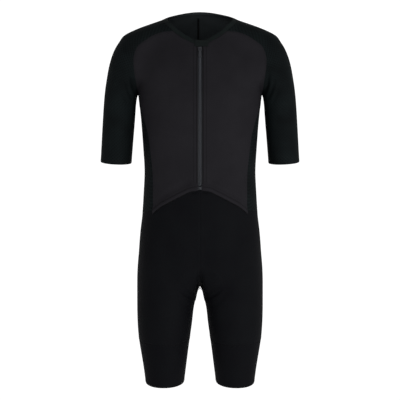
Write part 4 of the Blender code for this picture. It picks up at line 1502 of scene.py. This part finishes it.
@dataclass
class Panel:
    """A cloth piece, or a pair of them on the wearer's left and right."""

    name: str
    node: str
    slot: str
    finish: bpy.types.Material
    cut: Cut
    sewn_to: tuple[str, ...] = ()
    lining: bpy.types.Material | None = None

    def build(self, wall: Wall, ending: str = "") -> None:
        """Make one piece.

        Args:
            wall: Its wall.
            ending: What its names end with.
        """
        obj = mesh_object(self.name + ending, wall.points, wall.faces, self.finish, wall.uv)
        # the inner finish is paler in part as painted light on the inside
        if self.lining is not None:
            wall.line(obj, self.lining)
        dress(obj, self.slot, self.node + ending)
        self.cut.declare(obj, *(other + ending for other in self.sewn_to))

    def build_pair(self, wall: Wall) -> None:
        """Make the left piece and its mirror image.

        Args:
            wall: The wall of the left piece.
        """
        for side in Side:
            self.build(wall if side is Side.LEFT else wall.mirrored(),
                       f"_{side.name.lower()}")


@dataclass
class Bodice:
    """Fronts, their hem, and the back."""

    nets: SuitNets
    finishes: Wardrobe
    front_cut: Cut = Cut(220, 459, 63700)
    hem_cut: Cut = Cut(145, 10)
    back_cut: Cut = Cut(283, 560, 109200)
    hem_off: tuple[float, float] = (0.3, 1.2)        # gap to the shorts, and more of it at the zip
    hem_span: tuple[float, float] = (44.0, 18.0)     # from and to what x it gets more
    hem_round: Relief = Relief(0.6, 0.0, 1.0)        # fall of the fold at its edges
    hem_full: Relief = Relief(1.0, 0.0, 2.6)         # what its edges lack of the full middle
    hem_groove: Relief = Relief(0.7, 0.0, 1.6)       # front pressed down above the hem
    hollow: Relief = Relief(2.2, 13.0, 7.0)          # loose front a little higher up
    hollow_span: tuple = ((18, 30), (112, 90))       # from and to what x it comes in, both ends
    rise: float = 9.0                                # height over which it comes up to the hem

    def hem_lift(self, p: Array) -> Array:
        """How far the hem stands off the shorts: further where the zip tape runs under it."""
        gap, more = self.hem_off
        return gap + more * soft_step(*self.hem_span, np.abs(p[:, 0]))

    def build(self) -> None:
        """Make the panels."""
        def front_out(p: Array, far: Array) -> Array:
            """Outside of the front: a soft hollow, then up to a groove above the hem.

            Args:
                p: Points on the form.
                far: Their distances to the rim.

            Returns:
                How far each is moved out.
            """
            above, aside = distance(p, self.nets.hem[0]), np.abs(p[:, 0])
            share = soft_step(self.rise, 0, above)
            near, side = (soft_step(*span, aside) for span in self.hollow_span)
            hollow = self.hollow.at(above) * near * side
            high = self.hem_lift(p) + SIZES.wall - self.hem_groove.at(above)
            return pressed_seam(p, far) * (1 - share) + share * high - hollow

        def hem_out(p: Array, far: Array) -> Array:
            """Outside of the folded hem, full in the middle and round at its two edges."""
            full = self.hem_full.size - self.hem_full.at(far)
            return self.hem_lift(p) + SIZES.hem_wall - self.hem_round.at(far) + full

        nets, finishes = self.nets, self.finishes
        Panel("front_panel", "front", "front_knit", finishes.front, self.front_cut,
              ("sleeve", "back"), finishes.inner).build_pair(
            ClothNet().add(nets.front, 0).wall(front_out, inside_of(front_out, 1.0)))
        Panel("front_hem_fold", "front_hem", "front_knit", finishes.front, self.hem_cut,
              ("front",)).build_pair(
            ClothNet().add(nets.hem, 0).wall(hem_out, lambda p, far: self.hem_lift(p)))
        Panel("back_panel", "back", "back_knit", finishes.back, self.back_cut,
              ("sleeve", "short"), finishes.inner).build_pair(
            ClothNet().add(nets.back).wall(pressed_seam, inside_of(pressed_seam)))


@dataclass
class Sleeves:
    """The two raglan sleeves."""

    nets: SuitNets
    finishes: Wardrobe
    cut: Cut = Cut(302, 456, 94500)

    def build(self) -> None:
        """Make the sleeves."""
        Panel("sleeve_panel", "sleeve", "sleeve_knit", self.finishes.sleeve, self.cut,
              ("front", "back"), self.finishes.inner).build_pair(
            ClothNet().add(self.nets.sleeve).wall(pressed_seam, inside_of(pressed_seam)))


@dataclass
class Shorts:
    """The legs, their gripper bands and the seat pad."""

    nets: SuitNets
    finishes: Wardrobe
    short_cut: Cut = Cut(611, 425, 182700)
    band_cut: Cut = Cut(486, 125, 52300)
    pad_shows: tuple[float, float] = (60.0, 58.0)      # half width and height of what it lifts
    pad_full: float = 1.0                              # and how far
    pad_fade: tuple[float, float] = (1.06, 0.95)       # shares of that size where it comes in
    pad_cells: int = 3                                 # cells of the net, from the middle
    pad_edge: tuple[float, float] = (1.6, 14.0)        # wall at its edge, and how far it slopes
    pad_channel: Relief = Relief(2.2, 22.0, 2.5)       # groove beside the middle
    pad_drop: float = 2.8                              # lower where the legs part
    pad_parting: tuple = ((9, 1), (-635, -660))        # from and to what x and z it gets lower

    def build(self) -> None:
        """Make the shorts, bands and pad."""
        def outside(p: Array, far: Array) -> Array:
            """Outside of the shorts, a little fuller over the seat pad.

            Args:
                p: Points on the form.
                far: Their distances to the rim.

            Returns:
                How far each is moved out.
            """
            ring = np.hypot(p[:, 0] / self.pad_shows[0],
                            (p[:, 2] - SIZES.crotch) / self.pad_shows[1])
            return pressed_seam(p, far) + self.pad_full * soft_step(*self.pad_fade, ring)

        nets, finishes = self.nets, self.finishes
        Panel("short_leg", "short", "shorts_knit", finishes.shorts, self.short_cut,
              ("back", "leg_band"), finishes.inner).build_pair(
            ClothNet().add(nets.short).wall(outside, inside_of(outside)))
        Panel("leg_gripper", "leg_band", "gripper_band", finishes.band, self.band_cut,
              ("short",)).build_pair(
            ClothNet().add(nets.band).wall(pressed_seam, inside_of(pressed_seam)))
        self.build_pad()

    def build_pad(self) -> None:
        """Seat pad of moulded foam: thick under the sit bones, with sewn-down edges."""
        above, below = ((STEPS.rise + k * self.pad_cells) * STEPS.finer for k in (-1, 1))
        grid, wide = self.nets.short[above:below + 1], self.pad_cells * STEPS.finer
        keep = np.zeros((grid.shape[0] - 1, grid.shape[1] - 1), bool)
        keep[:, :wide] = keep[:, -wide:] = True
        cloth = ClothNet().add(grid, keep=keep)
        cloth.add(grid[:, ::-1] * Side.RIGHT.flip, keep=keep)
        edge, slope = self.pad_edge

        def top(p: Array, _: Array) -> Array:
            """The side against the shorts, further off where the legs part.

            Args:
                p: Points on the form.
                _: Their distances to the rim, which have no part in it.

            Returns:
                How far each is moved out.
            """
            across, down = self.pad_parting
            parting = soft_step(*across, np.abs(p[:, 0])) * soft_step(*down, p[:, 2])
            return -SIZES.wall - SIZES.pad_drop - self.pad_drop * parting

        def under(p: Array, far: Array) -> Array:
            """The side against the body: full in the middle, thin at its edge."""
            full = SIZES.pad_wall - edge - self.pad_channel.at(np.abs(p[:, 0]))
            return top(p, far) - edge - full * soft_step(0, slope, far)

        wall = cloth.wall(top, under, 1.0)
        obj = mesh_object("seat_pad_foam", wall.points, wall.faces, self.finishes.pad, wall.uv)
        dress(obj, "seat_pad", "seat_pad")


@dataclass
class NeckBinding:
    """The folded strip round the neck, from the zip round the back to the zip."""

    nets: SuitNets
    finishes: Wardrobe
    cut: Cut = Cut(520, 10)
    full: float = 0.2                        # more than the binding's rise, between its edges
    edge: Relief = Relief(0.7, 0.0, 1.2)
    inner_edge: Relief = Relief(0.5, 0.0, 1.2)

    def build(self) -> None:
        """Make the strip, round at its fold."""
        half = self.nets.binding
        strip = np.hstack([half, (half[:, ::-1] * Side.RIGHT.flip)[:, 1:]])
        wall = ClothNet().add(strip).wall(
            lambda p, far: SIZES.binding_rise + self.full - self.edge.at(far),
            lambda p, far: -SIZES.wall + self.inner_edge.at(far))
        # the inner finish on its inside is paler in part as painted light
        Panel("neck_binding_strip", "neck_binding", "binding", self.finishes.binding, self.cut,
              ("front_left", "front_right", "sleeve_left", "sleeve_right", "back_left",
               "back_right"), self.finishes.inner).build(wall)


class PathTree:
    """Node tree that lays a small rounded piece again and again along a path.

    The path is a mesh of edges whose points carry the vector attribute outward.
    """

    BLOCK = 1.35    # a cube of this size is about one across once it is rounded

    def __init__(self, name: str) -> None:
        """Build the tree.

        Args:
            name: The tree's name.
        """
        tree = bpy.data.node_groups.new(name, "GeometryNodeTree")
        for way in ("INPUT", "OUTPUT"):
            tree.interface.new_socket("Geometry", in_out=way, socket_type="NodeSocketGeometry")
        for label, default in (("Pitch", 3 * MM), ("Long", 2 * MM), ("Wide", 0.5 * MM),
                               ("Tall", 0.5 * MM), ("Aside", 0.0), ("Turn", 0.0)):
            socket = tree.interface.new_socket(label, in_out="INPUT",
                                               socket_type="NodeSocketFloat")
            socket.default_value = default
        tree.interface.new_socket("Finish", in_out="INPUT", socket_type="NodeSocketMaterial")
        self.tree = tree
        node = partial(add_node, tree)
        given = node("NodeGroupInput").outputs
        curve = node("GeometryNodeResampleCurve", {
            "Curve": node("GeometryNodeMeshToCurve", {"Mesh": given["Geometry"]}),
            "Length": given["Pitch"]}, mode="LENGTH")
        out = node("GeometryNodeInputNamedAttribute", {"Name": "outward"},
                   data_type="FLOAT_VECTOR").outputs["Attribute"]
        along = node("GeometryNodeInputTangent")
        upright = node("FunctionNodeAlignRotationToVector", {"Vector": out},
                       axis="Z", pivot_axis="AUTO")
        facing = node("FunctionNodeAlignRotationToVector", {
            "Rotation": upright, "Vector": along}, axis="X", pivot_axis="Z")
        # every second piece is turned the other way round and moved to the other side
        odd = node("ShaderNodeMath", {0: node("GeometryNodeInputIndex"), 1: 2.0},
                   operation="MODULO")
        sign = node("ShaderNodeMath", {0: odd, 1: 2.0, 2: -1.0}, operation="MULTIPLY_ADD")
        turn, aside = (node("ShaderNodeMath", {0: sign, 1: given[label]}, operation="MULTIPLY")
                       for label in ("Turn", "Aside"))
        spin = node("FunctionNodeEulerToRotation", {0: node("ShaderNodeCombineXYZ", {"Z": turn})})
        turned = node("FunctionNodeRotateRotation", {"Rotation": facing, "Rotate By": spin},
                      rotation_space="LOCAL")
        across = node("ShaderNodeVectorMath", {0: out, 1: along}, operation="CROSS_PRODUCT")
        shift = node("ShaderNodeVectorMath", {0: across, "Scale": aside}, operation="SCALE")
        # the tangent and the outward way are read on the curve, before it turns into points
        read_off = node("GeometryNodeCaptureAttribute", {"Geometry": curve})
        read_off.capture_items.new("ROTATION", "Rotation")
        read_off.capture_items.new("VECTOR", "Offset")
        feed(read_off, {"Rotation": turned, "Offset": shift})
        points = node("GeometryNodeCurveToPoints", {"Curve": read_off}, mode="EVALUATED")
        moved = node("GeometryNodeSetPosition", {
            "Geometry": points, "Offset": read_off.outputs["Offset"]})
        block = node("GeometryNodeMeshCube", {"Size": (self.BLOCK,) * 3})
        bead = node("GeometryNodeSubdivisionSurface", {"Mesh": block, "Level": 1})
        laid = node("GeometryNodeInstanceOnPoints", {
            "Points": moved, "Instance": node("GeometryNodeSetShadeSmooth", {"Geometry": bead}),
            "Rotation": read_off.outputs["Rotation"],
            "Scale": node("ShaderNodeCombineXYZ", {
                "X": given["Long"], "Y": given["Wide"], "Z": given["Tall"]})})
        real = node("GeometryNodeRealizeInstances", {"Geometry": laid})
        node("NodeGroupOutput", {"Geometry": node("GeometryNodeSetMaterial", {
            "Geometry": real, "Material": given["Finish"]})})

    def lay(self, name: str, lines: list[Array], outs: list[Array], finish: bpy.types.Material,
            sizes: dict[str, float]) -> bpy.types.Object:
        """Lay the pieces along lines and turn the result into a plain mesh.

        Args:
            name: The piece's name.
            lines: Paths in millimetres.
            outs: Outward way at each point of each path.
            finish: The material.
            sizes: The tree's named inputs, lengths in metres.

        Returns:
            The object, with no modifier left.
        """
        edges, at = [], 0
        for line in lines:
            edges += [(k, k + 1) for k in range(at, at + len(line) - 1)]
            at += len(line)
        mesh = bpy.data.meshes.new(name + "_path")
        mesh.from_pydata((np.vstack(lines) * MM).tolist(), edges, [])
        store = mesh.attributes.new("outward", "FLOAT_VECTOR", "POINT")
        store.data.foreach_set("vector", np.vstack(outs).astype(np.float32).ravel())
        path = link(name + "_path", mesh)
        modifier = path.modifiers.new("lay", "NODES")
        modifier.node_group = self.tree
        names = {item.name: item.identifier for item in self.tree.interface.items_tree
                 if item.in_out == "INPUT"}
        for key, value in {**sizes, "Finish": finish}.items():
            modifier[names[key]] = value
        made = evaluated(path)
        made.name = name
        bpy.data.objects.remove(path, do_unlink=True)
        bpy.data.meshes.remove(mesh)
        return link(name, made)


@dataclass
class Zip:
    """Tapes, coil teeth, slider, pull tab, bottom stop and the garage over its top."""

    nets: SuitNets
    finishes: Wardrobe
    tape_cut: Cut = Cut(12.1, 385)
    tape_over: float = 0.3                           # gap of its end to the shorts
    tape_short: float = 1.5                          # from its end to the hem's edge
    tape_step: float = 0.5                           # from where it comes out to the hem's seam
    pitch: float = 1.6                               # of the teeth of one tape
    coil: tuple[float, float, float] = (0.75, 3.4, 0.85)    # length, width and shift of a tooth
    coil_lean: float = 4.0                           # degrees
    coil_proud: float = 0.45                         # how far it stands off the tapes' middle
    coil_inside: float = 3.0                         # how far it reaches into the slider
    coil_short: float = 1.2                          # from its end to the hem's seam
    coil_climb: tuple[float, float] = (1.1, 8.0)     # rise to the hem, and over what height
    garage_cut: Cut = Cut(33, 20)
    garage_across: tuple[float, float] = (-13.0, 20.0)
    garage_ends: tuple[float, float] = (0.6, 1.0)    # below the neck edge, above the slider's top
    garage_gap: float = 0.4                          # to the binding under it
    garage_full: float = 1.3
    garage_roll: Relief = Relief(0.9, -2.4, 1.7)     # along its top
    garage_dip: tuple[Relief, Relief] = (Relief(0.8, 3.0, 5.0), Relief(1.0, 3.5, 2.6))
    garage_edge: Relief = Relief(0.6, 0.0, 1.2)
    tape_columns: int = 9                            # points across a tape
    coil_points: int = 240                           # along the coil's path
    garage_points: tuple[int, int] = (13, 25)        # down and across the strip
    weld: float = 0.02                               # distance under which corners are one
    rounding: float = 0.28                           # of the castings' edges
    round_from: float = 35.0                         # degrees at which an edge is rounded
    sharp_from: float = 50.0                         # degrees at which one is shaded sharp

    def build(self, path_tree: PathTree) -> None:
        """Make every piece of the zip.

        Args:
            path_tree: The tree that lays the teeth.
        """
        self.build_tapes()
        self.build_teeth(path_tree)
        self.build_garage()
        for node, body in (("zip_slider", "suit"), ("zip_pull", "pull"),
                           ("zip_bottom_stop", "suit")):
            self.build_metal(node, body)

    def build_tapes(self) -> None:
        """Two woven tapes under the fronts."""
        z = np.concatenate([self.nets.front[:, 0, 2], self.nets.hem_edge[1:2, 2]])
        z[-1] += self.tape_short
        low = self.nets.front[-1, 0, 2] + self.tape_step
        grid = np.stack([FORM.on_front(x, z)
                         for x in np.linspace(SIZES.tape_in, SIZES.tape_out,
                                              self.tape_columns)], axis=1)

        def outside(p: Array, _: Array) -> Array:
            """Outside of the tape: under the fronts, then over the shorts below them.

            Args:
                p: Points on the form.
                _: Their distances to the rim, which have no part in it.

            Returns:
                How far each is moved out.
            """
            return np.where(p[:, 2] > low, -SIZES.wall - SIZES.tape_drop,
                            self.tape_over + SIZES.tape_wall)

        Panel("zip_tape_woven", "zip_tape", "zip_tape", self.finishes.tape, self.tape_cut,
              ("front",)).build_pair(ClothNet().add(grid, 0).wall(
                  outside, lambda p, far: outside(p, far) - SIZES.tape_wall))

    def build_teeth(self, path_tree: PathTree) -> None:
        """The closed coil from inside the slider to the front hem.

        Args:
            path_tree: The tree that lays the teeth.
        """
        z = np.linspace(SIZES.slider_top - self.coil_inside,
                        self.nets.front[-1, 0, 2] + self.coil_short, self.coil_points)
        spine = FORM.on_front(0.0, z)
        out = unit(FORM.normals(spine) * [0.0, 1.0, 1.0])
        middle = -SIZES.wall - SIZES.tape_drop - SIZES.tape_wall / 2 + self.coil_proud
        climb, height = self.coil_climb
        spine = spine + out * (middle + climb * soft_step(height, 0, z - z[-1]))[:, None]
        long, wide, aside = self.coil
        obj = path_tree.lay("zip_coil_teeth", [spine], [out], self.finishes.teeth, {
            "Pitch": self.pitch / 2 * MM, "Long": long * MM, "Wide": wide * MM,
            "Tall": SIZES.teeth_tall * MM, "Aside": aside * MM,
            "Turn": math.radians(self.coil_lean)})
        dress(obj, "zip_teeth", "zip_chain")

    def build_garage(self) -> None:
        """Strip of cloth folded over the top of the zip, further out on the wearer's left."""
        below, above = self.garage_ends
        down, wide = self.garage_points
        z = np.linspace(self.nets.neck[0, 2] - below, SIZES.slider_top + above, down)
        across = np.linspace(*self.garage_across, wide)
        grid = np.stack([FORM.on_front(x, z) for x in across], axis=1)
        rise = SIZES.binding_rise + self.garage_gap

        def outside(p: Array, far: Array) -> Array:
            """Outside of the strip: a roll along its top, a dip where the slider parks.

            Args:
                p: Points on the form.
                far: Their distances to the rim.

            Returns:
                How far each is moved out.
            """
            wide, high = self.garage_dip
            dip = wide.at(p[:, 0]) * high.at(p[:, 2] - z[-1])
            roll = self.garage_roll.at(p[:, 2] - z[0])
            return rise + self.garage_full + roll - dip - self.garage_edge.at(far)

        Panel("zip_garage_strip", "zip_garage", "binding", self.finishes.garage,
              self.garage_cut, ("neck_binding",)).build(
            ClothNet().add(grid).wall(outside, lambda p, far: np.full(len(p), rise)))

    def build_metal(self, node: str, body: str) -> None:
        """A small casting: its solid with its edges rounded.

        Args:
            node: The solid.
            body: The body it moves with.
        """
        mesh = frame["nodes"][node].data.copy()
        mesh.name = node + "_cast"
        mesh.materials.clear()
        mesh.materials.append(self.finishes.metal)
        obj = link(mesh.name, mesh)
        for kind, settings in (
                ("WELD", {"merge_threshold": self.weld * MM}),
                ("BEVEL", {"width": self.rounding * MM, "segments": 2, "limit_method": "ANGLE",
                           "angle_limit": math.radians(self.round_from)})):
            modifier = obj.modifiers.new(kind.lower(), kind)
            for key, value in settings.items():
                setattr(modifier, key, value)
        made = evaluated(obj)
        obj.modifiers.clear()
        obj.data = made
        made.polygons.foreach_set("use_smooth", [True] * len(made.polygons))
        made.set_sharp_from_angle(angle=math.radians(self.sharp_from))
        dress(obj, "zip_metal", node, body=body)


@dataclass
class Stitching:
    """Rows of thread beside the seams; the two widest, stitched close, are painted shade beside
    the zip and painted shadow under the hem.
    """

    nets: SuitNets
    finishes: Wardrobe
    pitch: float = 3.2
    fine: float = 1.1                        # the same in a row that covers the cloth as a painted shadow line
    painted_shadow_wide: float = 1.5                    # a wider row is such a painted shadow line
    thick: float = 0.6
    share: float = 0.75                      # how much of the pitch a stitch takes
    flat: tuple = (1.5, 1.3, 6.0, 0.5)       # the flat seam's pitch, length, width and height
    flat_at: tuple = (4.5, 0.3)              # from the centre back, and from its inside
    flat_lean: float = 12.0                  # degrees

    def build(self, path_tree: PathTree) -> None:
        """Lay every row of thread.

        Args:
            path_tree: The tree that lays the stitches.
        """
        nets = self.nets
        zip_edge = nets.front[2:, 0]
        under = STEPS.raglan * STEPS.finer
        raglan_front, raglan_back = nets.sleeve[1:under - 1, 0], nets.sleeve[1:under - 1, -1]
        # by name: how wide a stitch is, then each line, how far aside and how high it runs
        rows = {
            # painted shade: a wide black row darkens the fronts' rolled edges beside the zip
            "zip_edge_painted_shade_stitch": (2.8, (zip_edge, -2.4, 0.1)),
            "zip_topstitch": (1.1, (zip_edge, -10.4, 0.1)),
            "raglan_stitch": (0.6, (raglan_front, 3.0, 0.2), (raglan_back, -3.0, 0.2)),
            "neck_seam_stitch": (0.9, (nets.neck_seam[4:], 0.6, 0.3)),
            "leg_band_stitch": (0.6, (nets.band[0], -2.5, 0.2), (nets.band[0], 2.5, 0.2)),
            "hem_seam_stitch": (0.7, (nets.hem[0, 1:], -0.6, 2.2)),
            # painted shadow: a wide black row along the lower edge of the hem
            "hem_edge_painted_shadow_stitch": (1.8, (nets.hem[-1, 1:], 1.2, 0.5)),
        }
        for name, (wide, *lines) in rows.items():
            pitch = self.fine if wide > self.painted_shadow_wide else self.pitch
            paths, outs = [], []
            for line, aside, lift in lines:
                line = beside(line, aside)
                out = FORM.normals(line)
                line = line + out * (lift - FORM.troughs(line, CREASES)[:, None])
                paths += [line * side.flip for side in Side]
                outs += [out * side.flip for side in Side]
            dress(path_tree.lay(name, paths, outs, self.finishes.thread, {
                "Pitch": pitch * MM, "Long": self.share * pitch * MM, "Wide": wide * MM,
                "Tall": self.thick * MM}), "zip_tape")
        # flat seam inside the centre back, seen through the neck
        aside, lift = self.flat_at
        spine = nets.back[3:, -1] - [aside, 0, 0]
        out = -FORM.normals(spine)
        sizes = {key: v * MM for key, v in zip(("Pitch", "Long", "Wide", "Tall"), self.flat)}
        dress(path_tree.lay(
            "back_flat_seam", [spine + out * (SIZES.wall + lift)], [out], self.finishes.thread,
            {**sizes, "Turn": math.radians(self.flat_lean)}), "zip_tape")


# ---------------------------------------------------------------- the room
@dataclass(frozen=True)
class Studio:
    """Camera, floor and light of the photograph."""

    distance: float = 2.9
    tilt: float = 9.4
    aim: float = -0.44441
    lens: float = 100.385
    sensor: float = 36.0
    sees: tuple[float, float] = (0.05, 500.0)     # nearest and furthest
    floor: float = -1.38
    floor_radius: float = 1.0
    floor_sides: int = 96
    ambient: float = 0.65
    paper: float = 1.1
    lights: tuple = (
        # name, place, width and watts of each soft box
        ("key", (1.3, -2.2, -1.2), 1.0, 37.0),
        ("side", (2.7, -0.6, -0.3), 1.2, 16.5),
        ("fill", (-2.1, -1.9, -0.3), 1.2, 10.0),
        ("front", (0.0, -2.9, 0.25), 1.0, 6.5),
    )

    def build(self) -> None:
        """Make the camera, the floor and the lights."""
        a = math.radians(self.tilt)
        camera = bpy.data.cameras.new("camera")
        camera.sensor_width, camera.lens = self.sensor, self.lens
        camera.clip_start, camera.clip_end = self.sees
        obj = link("camera", camera)
        obj.location = (0, -self.distance * math.cos(a), self.aim + self.distance * math.sin(a))
        obj.rotation_euler = (math.pi / 2 - a, 0, 0)
        bpy.context.scene.camera = obj

        turn = np.linspace(0, 2 * math.pi, self.floor_sides, endpoint=False)
        ring = self.floor_radius * xyz(np.cos(turn), np.sin(turn), 0)
        paint = HardFinish("floor_matt_white_paint", "#fafafa", 0.9, specular=0.1,
                           grain_mm=8.0, depth_mm=0.1).build()
        mesh_object("floor", (ring + [0, 0, self.floor]) / MM,
                             [tuple(range(len(turn)))], paint, smooth_to=None)
        self.light_sweep()
        for name, place, wide, watts in self.lights:
            light = bpy.data.lights.new(name, "AREA")
            light.size, light.energy = wide, watts
            lamp = link(name, light)
            lamp.location = place
            way = Vector((0, 0, self.aim)) - Vector(place)
            lamp.rotation_euler = way.to_track_quat("-Z", "Y").to_euler()

    def light_sweep(self) -> None:
        """The white sweep behind everything, brighter to look at than it lights the suit."""
        world = bpy.data.worlds.new("studio")
        world.use_nodes = True
        node = partial(add_node, world.node_tree)
        strength = node("ShaderNodeMapRange", {
            "Value": node("ShaderNodeLightPath").outputs["Is Camera Ray"],
            "To Min": self.ambient, "To Max": self.paper})
        feed(world.node_tree.nodes["Background"], {
            "Color": linear("#ffffff"), "Strength": strength})
        bpy.context.scene.world = world
        # the plain curve, in which the white sweep behind the suit is paper white
        bpy.context.scene.view_settings.view_transform = "Standard"


def main() -> None:
    """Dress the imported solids, and light and frame the scene."""
    logging.basicConfig(level=logging.INFO, format="%(name)s: %(message)s")
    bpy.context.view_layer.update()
    nets = SuitNets()
    LOG.info("nets laid")
    finishes = Wardrobe()
    Bodice(nets, finishes).build()
    Sleeves(nets, finishes).build()
    Shorts(nets, finishes).build()
    NeckBinding(nets, finishes).build()
    path_tree = PathTree("lay_along_path")
    Zip(nets, finishes).build(path_tree)
    Stitching(nets, finishes).build(path_tree)
    Studio().build()


if __name__ == "__main__":
    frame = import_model()
    main()
